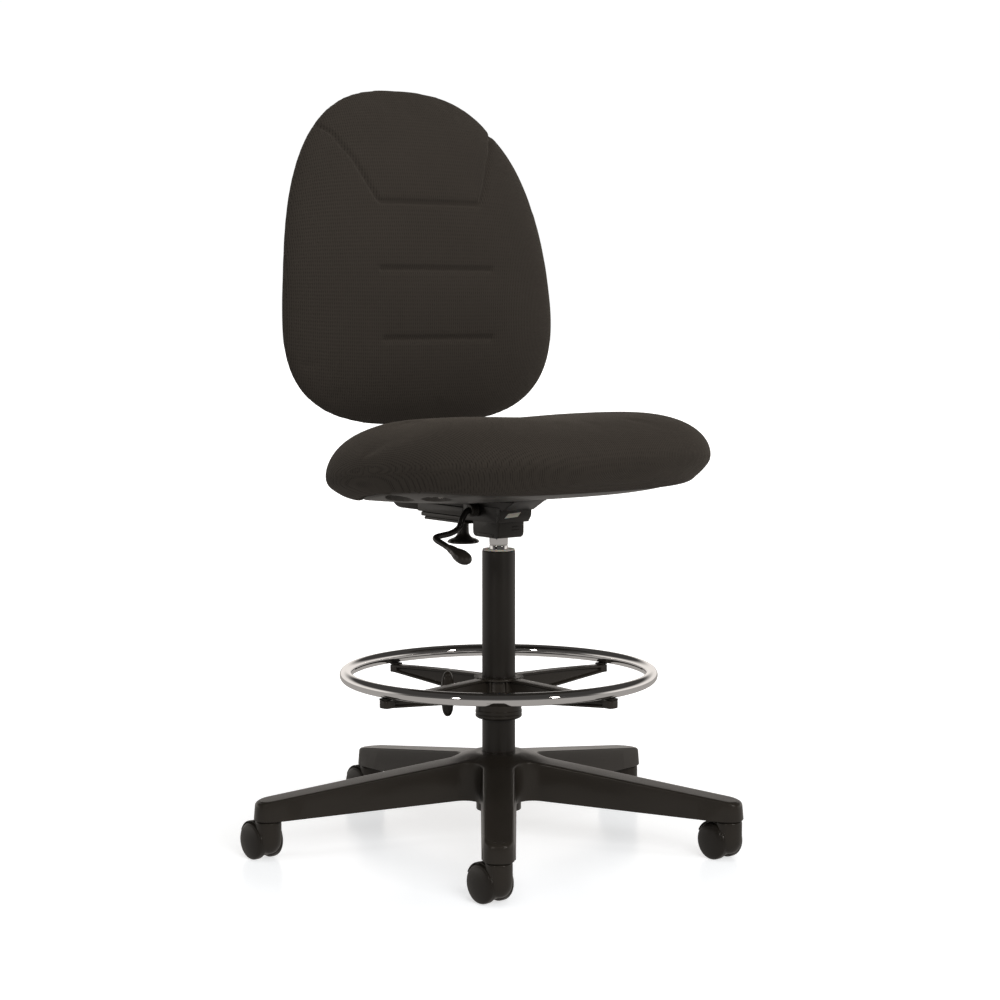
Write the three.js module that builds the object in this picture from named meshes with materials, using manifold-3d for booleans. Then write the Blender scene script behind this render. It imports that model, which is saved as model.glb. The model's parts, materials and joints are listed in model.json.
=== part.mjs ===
// Drafting chair: five-leg caster base, gas column with a clamped footring, tilt mechanism,
// contoured seat on a pan, and an egg-shaped back on an L-shaped bar.
// Millimetres, +Z up. The sitter faces -Y and the sitter's right hand is towards -X.
// Pieces are laid out about the column's axis; the last lines move the group so that the
// origin is the centre of its footprint, on the floor.
import * as THREE from 'three';
import { mergeVertices } from 'three/addons/utils/BufferGeometryUtils.js';
import Module from 'manifold-3d';

const wasm = await Module();
wasm.setup();

// ---------------------------------------------------------------- driving dimensions
const GAP = 0.3; // clearance between pieces that touch

const COLUMN = { radius: 25, bore: 22, bottom: 60, top: 445, floor: 6, segments: 24 };
const PISTON = { radius: 14, bottom: 92, top: 496, rodRadius: 5 };
const BUSH = { bottom: 380, flange: 2.4, flangeRadius: 24.4 };

const LEG = {
  count: 5, firstDeg: 17, rootRadius: 33, tipCentre: 350.5, tipRadius: 22.5,
  rootWidth: 52, tipWidth: 44, rootTop: 138, tipTop: 89, rootBottom: 75, tipBottom: 59.5,
  flare: 15, flareLength: 17, edge: 7, wall: 5, channelStart: 52, channelEnd: 318,
};
const HUB = { bottom: 52, top: 138, radius: 36 };

const CASTER = {
  stemOffset: 355, trail: 18, trailDeg: 93, wheelRadius: 27.5, wheelSides: 20,
  wheelInner: 7, wheelOuter: 24.8, axleRadius: 3, hoodRadius: 19.2, hoodTop: 58.6,
  stemRadius: 5.5, stemTop: 80, webHalf: 6.2, webRadius: 24, fenderRadius: 30.2, fenderHalf: 18,
};

const RING = { radius: 229.8, tube: 9.5, z: 258.5 };
const SPIDER = {
  firstDeg: 8, count: 4, hubRadius: 27.5, bore: 25.4, top: 254, bottom: 217,
  spokeHalf: 9, tip: 236, padHeight: 2.5,
};
const COLLAR = { top: 216.7, bottom: 194.5, radius: 34 };
const WING = { deg: 143, z: 227, offset: 77, height: 69, halfThick: 8, halfWide: 10 };

const PIVOT = { forward: 22, z: 500, radius: 4 };
const HOUSING = { half: 24, front: 32, back: -34, bottom: 462, top: 498 };
const CHASSIS = { inner: 25.5, outer: 29.5, top: 525, web: 512, bottom: 489 };
const PLATE = { bottom: 525.3, thick: 4, half: 60, front: 24, back: -164 };
const BOLT = { x: 46, front: 8, back: -148, head: 6, shank: 3, length: 8 };
const BAR = { half: 25, thick: 18, bottom: 494, rear: 257, corner: 33, start: 170.3, top: 830 };
const BRACKET = { half: 33, bottom: 700, top: 790, front: 235.8, back: 262 };
const TENSION = { forward: -90, top: 481.2, bottom: 448, radius: 24.5 };
const LEVER = { forward: -16, z: 506, rod: 4.5, bushRadius: 10, play: 0.8 };

const SEAT = {
  halfWide: 255, halfDeep: 235, power: 3.3, centre: -48, edge: 566.5, slope: 0.08,
  crown: 79, bolster: 24, under: 43.3, panBottom: PLATE.bottom + PLATE.thick + GAP,
};
const PAN = {
  halfWide: 240, front: 150, rear: 226, centre: -71, frontPower: 3, rearPower: 2.2, depth: 16.5, seam: 0.6,
  clearance: 80,
  pocketWide: 15, pocketLong: 24, pockets: [{ x: 222, y: -62, floor: 548 }, { x: 203, y: -125, floor: 545 }],
};
const BACK = {
  halfWide: 247, centre: 847, up: 299, down: 220, upPower: 2.63, downPower: 2.95, taper: 0.12,
  y: 200.6, lumbar: 763, lean: 5.7e-4, leanEase: 3.5e-7, front: 52, rear: 14, shell: 34,
  shellInset: 0.93, shellGap: 1.2,
};

// ---------------------------------------------------------------- materials
const looks = {
  fabric: { color: 0x2c2925, roughness: 0.95, metalness: 0 },
  plastic: { color: 0x2b2926, roughness: 0.5, metalness: 0 },
  pan: { color: 0x45433f, roughness: 0.55, metalness: 0 },
  wheel: { color: 0x262421, roughness: 0.45, metalness: 0 },
  blackSteel: { color: 0x1f1e1c, roughness: 0.4, metalness: 0.4 },
  chrome: { color: 0xd8d8d8, roughness: 0.12, metalness: 1 },
  steel: { color: 0x9a9a98, roughness: 0.3, metalness: 1 },
  nylon: { color: 0xd9d6cc, roughness: 0.6, metalness: 0 },
  rubber: { color: 0x1a1a19, roughness: 0.9, metalness: 0 },
};

// ---------------------------------------------------------------- geometry helpers
const rad = THREE.MathUtils.degToRad;
const lerp = THREE.MathUtils.lerp;

function mesh(name, geometry, look, parent) {
  const piece = new THREE.Mesh(geometry, new THREE.MeshStandardMaterial(looks[look]));
  piece.name = name;
  parent.add(piece);
  return piece;
}

function closed(geometry) {
  const bare = geometry.clone();
  bare.deleteAttribute('normal');
  bare.deleteAttribute('uv');
  return mergeVertices(bare, 1e-4);
}

function toSolid(geometry) {
  const whole = closed(geometry);
  return new wasm.Manifold(new wasm.Mesh({
    numProp: 3,
    vertProperties: new Float32Array(whole.attributes.position.array),
    triVerts: new Uint32Array(whole.index.array),
  }));
}

function fromSolid(solid) {
  const result = solid.getMesh();
  const geometry = new THREE.BufferGeometry();
  geometry.setAttribute('position', new THREE.BufferAttribute(result.vertProperties, 3));
  geometry.setIndex(new THREE.BufferAttribute(result.triVerts, 1));
  return geometry;
}

// Joins the first list of geometries and cuts the second from them.
function carve(joined, cut = []) {
  let solid = toSolid(joined[0]);
  for (const geometry of joined.slice(1)) solid = solid.add(toSolid(geometry));
  for (const geometry of cut) solid = solid.subtract(toSolid(geometry));
  return fromSolid(solid);
}

function signedVolume(geometry) {
  const at = geometry.attributes.position;
  const order = geometry.index.array;
  const corners = [new THREE.Vector3(), new THREE.Vector3(), new THREE.Vector3()];
  let volume = 0;
  for (let i = 0; i < order.length; i += 3) {
    corners.forEach((corner, k) => corner.fromBufferAttribute(at, order[i + k]));
    volume += corners[0].dot(corners[1].clone().cross(corners[2])) / 6;
  }
  return volume;
}

// A closed skin over a row of rings with equal point counts, fanned shut at both ends.
function skin(rings) {
  const sides = rings[0].length;
  const points = rings.flat();
  const faces = [];
  for (let ring = 0; ring + 1 < rings.length; ring += 1) {
    for (let side = 0; side < sides; side += 1) {
      const a = ring * sides + side;
      const b = ring * sides + ((side + 1) % sides);
      faces.push(a, b, b + sides, a, b + sides, a + sides);
    }
  }
  const ends = [[0, true], [(rings.length - 1) * sides, false]];
  for (const [start, flip] of ends) {
    const middle = new THREE.Vector3();
    for (let side = 0; side < sides; side += 1) middle.addScaledVector(points[start + side], 1 / sides);
    const apex = points.push(middle) - 1;
    for (let side = 0; side < sides; side += 1) {
      const a = start + side;
      const b = start + ((side + 1) % sides);
      if (flip) faces.push(b, a, apex);
      else faces.push(a, b, apex);
    }
  }
  const geometry = new THREE.BufferGeometry().setFromPoints(points);
  geometry.setIndex(faces);
  if (signedVolume(geometry) < 0) {
    for (let i = 0; i < faces.length; i += 3) [faces[i], faces[i + 1]] = [faces[i + 1], faces[i]];
    geometry.setIndex(faces);
  }
  return geometry;
}

// Turns [radius, height] points about the Z axis.
function turned(profile, segments) {
  const points = profile.map(([radius, height]) => new THREE.Vector2(radius, height));
  return new THREE.LatheGeometry(points, segments).rotateX(Math.PI / 2);
}

// A ring turned about the Z axis from a profile that closes on itself.
function turnedRing(profile, segments) {
  return turned([...profile, profile[0]], segments);
}

function rod(radius, bottom, top, segments = 16) {
  return turned([[0, bottom], [radius, bottom], [radius, top], [0, top]], segments);
}

function box(x, y, z) {
  const geometry = new THREE.BoxGeometry(x[1] - x[0], y[1] - y[0], z[1] - z[0]);
  return geometry.translate((x[0] + x[1]) / 2, (y[0] + y[1]) / 2, (z[0] + z[1]) / 2);
}

// Extrudes a side view, given as a Shape of [forward, height], across the chair's width.
function sideView(shape, half, bevel = 0) {
  const geometry = new THREE.ExtrudeGeometry(shape, {
    depth: 2 * (half - bevel), curveSegments: 6, bevelEnabled: bevel > 0,
    bevelThickness: bevel, bevelSize: bevel, bevelOffset: -bevel, bevelSegments: 1,
  });
  geometry.translate(0, 0, bevel - half);
  const toChair = new THREE.Matrix4().makeBasis(
    new THREE.Vector3(0, -1, 0), new THREE.Vector3(0, 0, 1), new THREE.Vector3(-1, 0, 0),
  );
  return geometry.applyMatrix4(toChair);
}

function outline(corners) {
  return new THREE.Shape(corners.map(([forward, height]) => new THREE.Vector2(forward, height)));
}

function acrossRod(radius, fromX, toX, forward, z, segments = 16) {
  return rod(radius, fromX, toX, segments).rotateY(Math.PI / 2).translate(0, -forward, z);
}

function turnedGroup(deg, parent) {
  const group = new THREE.Group();
  group.rotation.z = rad(deg);
  parent.add(group);
  return group;
}

// ---------------------------------------------------------------- star base
function legRing(along, inset, floorDrop) {
  const past = Math.max(0, Math.min(1, (along - LEG.tipCentre) / LEG.tipRadius));
  const run = Math.min(1, (along - LEG.rootRadius) / (LEG.tipCentre - LEG.rootRadius));
  const round = Math.sqrt(1 - past * past);
  const flare = LEG.flare * Math.exp(-(along - LEG.rootRadius) / LEG.flareLength);
  const low = (lerp(LEG.rootWidth, LEG.tipWidth, run) / 2 + flare) * round - inset;
  const high = low - 4 * round;
  const edge = Math.min(LEG.edge, high * 0.6);
  const bottom = lerp(LEG.rootBottom, LEG.tipBottom, Math.min(1, run * 1.08)) - floorDrop;
  const top = lerp(LEG.rootTop, LEG.tipTop, run) - inset - 3 * (1 - round);
  const half = [
    [low - Math.min(2, low * 0.3), bottom], [low, bottom + 2],
    [high + 1, top - edge], [high - edge * 0.3, top - edge * 0.3], [high - edge, top],
  ];
  const ring = half.map(([y, z]) => new THREE.Vector3(along, y, z));
  const mirrored = half.map(([y, z]) => new THREE.Vector3(along, -y, z)).reverse();
  return [...ring, ...mirrored];
}

function legStations() {
  const straight = [20, LEG.rootRadius, 42, 58, 90, LEG.tipCentre];
  const tip = [0.5, 0.85, 0.99].map((s) => LEG.tipCentre + LEG.tipRadius * s);
  return [...straight, ...tip];
}

function starBase(parent) {
  const joined = [turned([
    [0, HUB.bottom], [31.6, HUB.bottom], [34, 62], [HUB.radius, 90], [HUB.radius, HUB.top - 6],
    [HUB.radius - 2, HUB.top - 2], [31, HUB.top], [0, HUB.top],
  ], COLUMN.segments)];
  const cut = [rod(COLUMN.radius + GAP, HUB.bottom - 5, HUB.top + 5, COLUMN.segments)];
  const leg = skin(legStations().map((along) => legRing(along, 0, 0)));
  const channel = skin([LEG.channelStart, 66, 100, LEG.channelEnd]
    .map((along) => legRing(along, LEG.wall, 3)));
  for (let i = 0; i < LEG.count; i += 1) {
    const angle = rad(LEG.firstDeg + (i * 360) / LEG.count);
    const socket = rod(CASTER.stemRadius + GAP, LEG.tipBottom - 5, CASTER.stemTop + 1, 12)
      .translate(CASTER.stemOffset, 0, 0);
    joined.push(leg.clone().rotateZ(angle));
    cut.push(channel.clone().rotateZ(angle), socket.rotateZ(angle));
  }
  mesh('star_base', carve(joined, cut), 'plastic', parent);
}

// ---------------------------------------------------------------- casters
function wheelGeometry(side) {
  const { wheelRadius: r, wheelInner: inner, wheelOuter: outer, wheelSides } = CASTER;
  const bore = CASTER.axleRadius + GAP;
  const profile = [
    [0, 19], [bore, 19], [bore, inner], [r - 2.5, inner], [r, inner + 3],
    [r, inner + 11], [r - 3.5, inner + 15], [0, outer],
  ];
  const points = profile.map(([radius, along]) => new THREE.Vector2(radius, along));
  const wheel = new THREE.LatheGeometry(points, wheelSides, Math.PI / wheelSides);
  return side > 0 ? wheel : wheel.rotateX(Math.PI);
}

function hoodGeometry(axleZ) {
  const { hoodRadius: r, hoodTop, stemRadius, trail } = CASTER;
  const collar = turned([
    [0, 9], [7, 10], [12.5, 13.5], [16.5, 20], [r, 30], [r, hoodTop - 1], [r - 1, hoodTop],
    [stemRadius, hoodTop], [stemRadius, CASTER.stemTop], [0, CASTER.stemTop],
  ], 16);
  const disc = (radius, half) => new THREE.CylinderGeometry(radius, radius, 2 * half, 16)
    .translate(trail, 0, axleZ);
  const belowFender = box([-40, 80], [-30, 30], [-10, axleZ + 12]);
  const fender = carve([disc(CASTER.fenderRadius, CASTER.fenderHalf)], [belowFender]);
  const wheelRoom = [-1, 1].map((side) => new THREE.CylinderGeometry(
    CASTER.wheelRadius + 0.8, CASTER.wheelRadius + 0.8, 30, 16,
  ).translate(trail, side * (15 + CASTER.webHalf + GAP), axleZ));
  const axleRoom = new THREE.CylinderGeometry(
    CASTER.axleRadius + GAP, CASTER.axleRadius + GAP, 80, 8,
  ).translate(trail, 0, axleZ);
  return carve([collar, disc(CASTER.webRadius, CASTER.webHalf), fender], [...wheelRoom, axleRoom]);
}

function casters(parent) {
  const axleZ = CASTER.wheelRadius * Math.cos(Math.PI / CASTER.wheelSides);
  const hood = hoodGeometry(axleZ);
  const axle = new THREE.CylinderGeometry(CASTER.axleRadius, CASTER.axleRadius, 37, 8);
  for (let i = 0; i < LEG.count; i += 1) {
    const legDeg = LEG.firstDeg + (i * 360) / LEG.count;
    const caster = turnedGroup(CASTER.trailDeg, parent);
    caster.position.set(
      CASTER.stemOffset * Math.cos(rad(legDeg)), CASTER.stemOffset * Math.sin(rad(legDeg)), 0,
    );
    const name = `caster_${i + 1}`;
    mesh(`${name}_hood`, hood, 'plastic', caster);
    mesh(`${name}_axle`, axle, 'steel', caster).position.set(CASTER.trail, 0, axleZ);
    for (const [label, side] of [['wheel_a', 1], ['wheel_b', -1]]) {
      const wheel = mesh(`${name}_${label}`, wheelGeometry(side), 'wheel', caster);
      wheel.position.set(CASTER.trail, 0, axleZ);
    }
  }
}

// ---------------------------------------------------------------- gas column
function gasColumn(parent) {
  const { radius, bore, bottom, top, floor, segments } = COLUMN;
  const hole = PISTON.rodRadius + 0.5;
  mesh('column_tube', turnedRing([
    [hole, bottom], [radius, bottom], [radius, top], [bore, top], [bore, bottom + floor],
    [hole, bottom + floor],
  ], segments), 'blackSteel', parent);
  mesh('guide_bush', turnedRing([
    [PISTON.radius + GAP, BUSH.bottom], [bore - GAP, BUSH.bottom], [bore - GAP, top + GAP],
    [BUSH.flangeRadius, top + GAP], [BUSH.flangeRadius, top + BUSH.flange],
    [PISTON.radius + GAP, top + BUSH.flange],
  ], segments), 'nylon', parent);
  mesh('piston_rod', turned([
    [0, bottom - 3], [PISTON.rodRadius, bottom - 3], [PISTON.rodRadius, 418], [10.5, 418],
    [10.5, 432], [0, 432],
  ], 16), 'steel', parent);
  mesh('thrust_bearing', turnedRing([
    [PISTON.rodRadius + GAP, bottom + floor + GAP], [13.5, bottom + floor + GAP],
    [13.5, 74], [PISTON.rodRadius + GAP, 74],
  ], 16), 'steel', parent);
  mesh('retaining_clip', turnedRing([
    [PISTON.rodRadius + GAP, bottom - 2.5], [9, bottom - 2.5], [9, bottom - GAP],
    [PISTON.rodRadius + GAP, bottom - GAP],
  ], 16), 'steel', parent);
  mesh('pressure_tube', turned([
    [0, 440], [11, 440], [11, PISTON.bottom + 8], [hole, PISTON.bottom + 8],
    [hole, PISTON.bottom], [PISTON.radius, PISTON.bottom], [PISTON.radius, PISTON.top],
    [4.3, PISTON.top], [4.3, 476], [0, 476],
  ], segments), 'chrome', parent);
  mesh('valve_button', rod(4, 481, 501, 12), 'steel', parent);
}

// ---------------------------------------------------------------- footring
function spokeGeometry() {
  const stations = [[18, 219, 254], [60, 221.5, 253], [123, 226, 251], [226, 235, 245.6]];
  const ring = (along, low, high, half) => {
    const corner = Math.min(3, half * 0.4);
    const section = [
      [half - corner, low], [half, low + corner], [half, high - corner], [half - corner, high],
      [corner - half, high], [-half, high - corner], [-half, low + corner], [corner - half, low],
    ];
    return section.map(([y, z]) => new THREE.Vector3(along, y, z));
  };
  const rings = stations.map(([along, low, high]) => ring(along, low, high, SPIDER.spokeHalf));
  rings.push(ring(SPIDER.tip - 3, 235.6, 245.4, SPIDER.spokeHalf * 0.8));
  rings.push(ring(SPIDER.tip, 237, 244.6, SPIDER.spokeHalf * 0.45));
  return skin(rings);
}

function footring(parent) {
  const tubeSection = [];
  for (let i = 0; i < 8; i += 1) {
    const angle = (i * Math.PI) / 4;
    tubeSection.push([RING.radius + RING.tube * Math.cos(angle), RING.z + RING.tube * Math.sin(angle)]);
  }
  mesh('foot_ring', turnedRing(tubeSection, 40), 'chrome', parent);

  const hub = turned([
    [0, SPIDER.bottom], [COLLAR.radius, SPIDER.bottom], [COLLAR.radius, SPIDER.bottom + 3],
    [SPIDER.hubRadius + 2, SPIDER.bottom + 9], [SPIDER.hubRadius + 1, SPIDER.top - 3],
    [SPIDER.hubRadius - 1, SPIDER.top], [0, SPIDER.top],
  ], COLUMN.segments);
  const screwAxis = (geometry) => geometry.rotateY(Math.PI / 2).translate(0, 0, WING.z);
  const boss = screwAxis(rod(9, 20, 42, 12)).rotateZ(rad(WING.deg));
  const screwRoom = screwAxis(rod(4 + GAP, 20, 60, 12)).rotateZ(rad(WING.deg));
  const spokes = [];
  for (let i = 0; i < SPIDER.count; i += 1) {
    const deg = SPIDER.firstDeg + (i * 360) / SPIDER.count;
    spokes.push(spokeGeometry().rotateZ(rad(deg)));
    const pad = box([222, 236], [-7, 7], [RING.z - RING.tube - GAP - SPIDER.padHeight, RING.z - RING.tube - GAP]);
    mesh(`ring_pad_${i + 1}`, pad, 'rubber', turnedGroup(deg, parent));
  }
  const bore = rod(SPIDER.bore, SPIDER.bottom - 5, SPIDER.top + 5, COLUMN.segments);
  mesh('ring_spider', carve([hub, boss, ...spokes], [bore, screwRoom]), 'plastic', parent);
  mesh('clamp_collar', turnedRing([
    [SPIDER.bore, COLLAR.bottom], [30, COLLAR.bottom], [COLLAR.radius - 1, COLLAR.bottom + 4],
    [COLLAR.radius - 1, COLLAR.bottom + 6], [COLLAR.radius, COLLAR.bottom + 7],
    [COLLAR.radius, COLLAR.top], [SPIDER.bore, COLLAR.top],
  ], COLUMN.segments), 'plastic', parent);

  const knob = turnedGroup(WING.deg, parent);
  mesh('clamp_screw', screwAxis(rod(4, SPIDER.bore + GAP, 74, 12)), 'steel', knob);
  const wingRings = [-1, -0.93, -0.7, -0.35, 0, 0.35, 0.7, 0.93, 1].map((s) => {
    const swell = Math.sqrt(1.02 - s * s) * 0.55 + 0.45 * Math.sqrt(1.02 - s * s * s * s);
    const wide = WING.halfWide * swell;
    const thick = WING.halfThick * swell;
    const ring = [];
    for (let k = 0; k < 12; k += 1) {
      const angle = (k * Math.PI) / 6;
      const x = WING.offset + thick * Math.cos(angle);
      ring.push(new THREE.Vector3(x, wide * Math.sin(angle), WING.z + (s * WING.height) / 2));
    }
    return ring;
  });
  const wingBoss = screwAxis(rod(8, 58, WING.offset));
  const wingRoom = screwAxis(rod(4 + GAP, 50, 74.4, 12));
  mesh('wing_knob', carve([skin(wingRings), wingBoss], [wingRoom]), 'plastic', knob);
}

// ---------------------------------------------------------------- tilt mechanism
function tiltHousing(parent) {
  const { front, back, bottom, top, half } = HOUSING;
  const shape = new THREE.Shape();
  shape.moveTo(back + 8, bottom);
  shape.lineTo(front - 8, bottom);
  shape.quadraticCurveTo(front, bottom, front, bottom + 8);
  shape.lineTo(front, top - 2);
  shape.lineTo(front - 3.4, top);
  shape.lineTo(PIVOT.forward + 6.6, PIVOT.z + 5);
  shape.lineTo(PIVOT.forward + 4, PIVOT.z + 8);
  shape.lineTo(PIVOT.forward - 4, PIVOT.z + 8);
  shape.lineTo(PIVOT.forward - 6.4, PIVOT.z + 5);
  shape.lineTo(PIVOT.forward - 6.4, top);
  shape.lineTo(back, top);
  shape.lineTo(back, bottom + 8);
  shape.quadraticCurveTo(back, bottom, back + 8, bottom);
  const cut = [
    rod(PISTON.radius + GAP, bottom - 5, top + 5, COLUMN.segments),
    acrossRod(PIVOT.radius + GAP, -40, 40, PIVOT.forward, PIVOT.z),
  ];
  mesh('tilt_housing', carve([sideView(shape, half, 2)], cut), 'blackSteel', parent);
  const pin = acrossRod(PIVOT.radius, -CHASSIS.outer - 1.5, CHASSIS.outer + 1.5, PIVOT.forward, PIVOT.z);
  mesh('pivot_pin', pin, 'steel', parent);
}

function chassis(parent) {
  const { inner, outer, top, web, bottom } = CHASSIS;
  const roof = sideView(outline([
    [-215, BAR.bottom + BAR.thick + GAP], [-170, BAR.bottom + BAR.thick + GAP], [-170, 508],
    [-50, 508], [-50, web], [42, web], [42, 508], [46, 508], [76, 523], [76, top], [-215, top],
  ]), outer);
  const walls = [-1, 1].map((side) => sideView(outline([
    [-50, bottom], [34, bottom], [34, web + 1], [-50, web + 1],
  ]), (outer - inner) / 2).translate((side * (outer + inner)) / 2, 0, 0));
  const front = sideView(outline([
    [32.6, bottom], [36, bottom], [43, 499], [43, web + 1], [32.6, web + 1],
  ]), outer);
  const holes = [
    acrossRod(PIVOT.radius + GAP, -40, 40, PIVOT.forward, PIVOT.z),
  ];
  mesh('chassis', carve([roof, ...walls, front], holes), 'blackSteel', parent);

  const spring = sideView(outline([
    [-50.3, 481.5], [-157, 481.5], [-157, 486.4], [-170, 486.4], [-170, 508 - GAP], [-50.3, 508 - GAP],
  ]), outer, 1.5);
  const screwRoom = rod(4 + GAP, 470, 502).translate(0, -TENSION.forward, 0);
  mesh('spring_housing', carve([spring], [screwRoom]), 'plastic', parent);

  const holesForBolts = [];
  for (const x of [-BOLT.x, BOLT.x]) {
    for (const forward of [BOLT.front, BOLT.back]) {
      holesForBolts.push(rod(BOLT.shank + GAP, 500, 560, 12).translate(x, -forward, 0));
    }
  }
  const plate = box(
    [-PLATE.half, PLATE.half], [-PLATE.front, -PLATE.back], [PLATE.bottom, PLATE.bottom + PLATE.thick],
  );
  mesh('seat_plate', carve([plate], holesForBolts), 'blackSteel', parent);
}

function seatBolts(parent) {
  const underside = PLATE.bottom - GAP;
  let number = 1;
  for (const x of [-BOLT.x, BOLT.x]) {
    for (const forward of [BOLT.front, BOLT.back]) {
      const bolt = turned([
        [0, underside - 4], [BOLT.head, underside - 3], [BOLT.head, underside],
        [BOLT.shank, underside], [BOLT.shank, underside + BOLT.length], [0, underside + BOLT.length],
      ], 12);
      mesh(`seat_bolt_${number}`, bolt, 'steel', parent).position.set(x, -forward, 0);
      number += 1;
    }
  }
}

function tensionKnob(parent) {
  const { top, bottom, radius, forward } = TENSION;
  const bell = turned([
    [0, bottom], [radius - 1, bottom], [radius, bottom + 1.2], [radius, bottom + 3],
    [20, bottom + 6.5], [13, bottom + 11], [10, bottom + 18], [9, bottom + 27],
    [9, top], [4 + GAP, top], [4 + GAP, bottom + 12], [0, bottom + 12],
  ], 24);
  mesh('tension_knob', bell, 'plastic', parent).position.set(0, -forward, 0);
  mesh('tension_screw', rod(4, bottom + 12.4, 500, 12), 'steel', parent).position.set(0, -forward, 0);
}

function heightLever(parent) {
  const { forward, z, rod: rodRadius, bushRadius, play } = LEVER;
  const wall = CHASSIS.outer + GAP;
  const bush = turned([
    [0, wall], [bushRadius, wall], [bushRadius, wall + 3], [bushRadius - 1.5, wall + 4],
    [bushRadius - 1.5, wall + 7], [bushRadius, wall + 8], [bushRadius - 1, wall + 14],
    [rodRadius + play, wall + 14], [rodRadius + play, wall + 3], [0, wall + 3],
  ], 16).rotateY(-Math.PI / 2).translate(0, -forward, z);
  mesh('lever_bush', bush, 'plastic', parent);

  const route = [
    [34, -16, 506], [47, -16, 505], [56, -16, 494], [63, -15, 481], [78, -14, 474], [98, -12, 470.5],
    [105.5, -3, 467.5], [105.5, 20, 460.5], [105.5, 44, 452.5],
  ].map(([right, ahead, height]) => new THREE.Vector3(-right, -ahead, height));
  const section = new THREE.Shape().absarc(0, 0, rodRadius, 0, 2 * Math.PI);
  const rodGeometry = new THREE.ExtrudeGeometry(section, {
    curveSegments: 4, steps: 22, bevelEnabled: false, extrudePath: new THREE.CatmullRomCurve3(route),
  });
  mesh('lever_rod', rodGeometry, 'blackSteel', parent);

  const paddle = new THREE.SphereGeometry(1, 12, 8).scale(10, 17, 6.5).rotateX(rad(18));
  paddle.translate(-105.5, -61.5, 446.6);
  mesh('lever_paddle', paddle, 'plastic', parent);
}

// ---------------------------------------------------------------- seat
function seatPoint(angle, share, lift) {
  const { halfWide, halfDeep, power, centre, edge, slope } = SEAT;
  const c = Math.cos(angle);
  const s = Math.sin(angle);
  const reach = share * (Math.abs(c) ** power + Math.abs(s) ** power) ** (-1 / power);
  const y = centre + halfDeep * reach * s;
  const bolster = SEAT.bolster * (reach * c) ** 2;
  return new THREE.Vector3(halfWide * reach * c, y, edge - slope * (y - centre) + lift(bolster));
}

function seatRing(share, lift, sides = 28) {
  const ring = [];
  for (let i = 0; i < sides; i += 1) ring.push(seatPoint((i * 2 * Math.PI) / sides, share, lift));
  return ring;
}

// How far a point lies from the seat's centre, as a share of the way to its outline.
function seatShare(x, y) {
  const { halfWide, halfDeep, power, centre } = SEAT;
  return (Math.abs(x / halfWide) ** power + Math.abs((y - centre) / halfDeep) ** power) ** (1 / power);
}

// Height of the seat's rounded underside, kept clear of the mechanism near the middle.
function seatUnder(x, y) {
  const edge = SEAT.edge - SEAT.slope * (y - SEAT.centre);
  const belly = edge - SEAT.under * Math.sqrt(Math.max(0, 1 - seatShare(x, y) ** 4));
  const clear = SEAT.panBottom + GAP - 0.25 * Math.max(0, Math.abs(x) - PLATE.half - PAN.clearance);
  return Math.max(belly, clear);
}

// A ring on the pan's outline, drawn in by a share or pushed out by millimetres.
function panRing(share, out, heightAt, sides = 28) {
  const ring = [];
  for (let i = 0; i < sides; i += 1) {
    const c = Math.cos((i * 2 * Math.PI) / sides);
    const s = Math.sin((i * 2 * Math.PI) / sides);
    const [halfDeep, power] = s > 0 ? [PAN.rear, PAN.rearPower] : [PAN.front, PAN.frontPower];
    const reach = share * (Math.abs(c) ** power + Math.abs(s) ** power) ** (-1 / power);
    const x = (PAN.halfWide + out) * reach * c;
    const y = PAN.centre + (halfDeep + out) * reach * s;
    ring.push(new THREE.Vector3(x, y, heightAt(x, y)));
  }
  return ring;
}

function seat(parent) {
  const { crown, panBottom } = SEAT;
  const onUnderside = ({ x, y }) => new THREE.Vector3(x, y, seatUnder(x, y));
  const panTop = (x, y) => SEAT.edge - SEAT.slope * (y - SEAT.centre) - PAN.depth;
  const foamBottom = (x, y) => panTop(x, y) + GAP;
  const rim = panRing(1, PAN.seam, seatUnder);
  const outer = seatRing(0.97, () => 0).map(onUnderside);
  const between = outer.map((point, i) => onUnderside(point.clone().lerp(rim[i], 0.5)));
  const rings = [
    panRing(0.3, 0, foamBottom), panRing(1, PAN.seam, foamBottom), rim, between, outer,
    seatRing(0.993, () => 0).map(onUnderside), seatRing(1, () => 0),
  ];
  for (const share of [0.992, 0.97, 0.93, 0.86, 0.74, 0.55, 0.3]) {
    const dome = (1 - share ** 3.5) ** (1 / 2.2);
    rings.push(seatRing(share, (bolster) => dome * (crown + bolster)));
  }
  mesh('seat_cushion', skin(rings), 'fabric', parent);

  const aboveFlat = (x, y) => Math.max(panBottom, seatUnder(x, y));
  const pan = skin([
    panRing(0.3, 0, panTop), panRing(1, 0, panTop), panRing(1, 0, aboveFlat), panRing(0.93, 0, aboveFlat),
    panRing(0.82, 0, aboveFlat), panRing(0.66, 0, () => panBottom), panRing(0.3, 0, () => panBottom),
  ]);
  const cut = [];
  for (const x of [-BOLT.x, BOLT.x]) {
    for (const forward of [BOLT.front, BOLT.back]) {
      cut.push(rod(BOLT.shank + GAP, 500, PLATE.bottom + BOLT.length + 1, 12).translate(x, -forward, 0));
    }
  }
  for (const side of [-1, 1]) {
    for (const { x, y, floor } of PAN.pockets) {
      const pocket = rod(1, 500, floor, 12).scale(PAN.pocketWide, PAN.pocketLong, 1);
      cut.push(pocket.translate(side * x, y, 0));
    }
  }
  mesh('seat_pan', carve([pan], cut), 'pan', parent);
}

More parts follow.
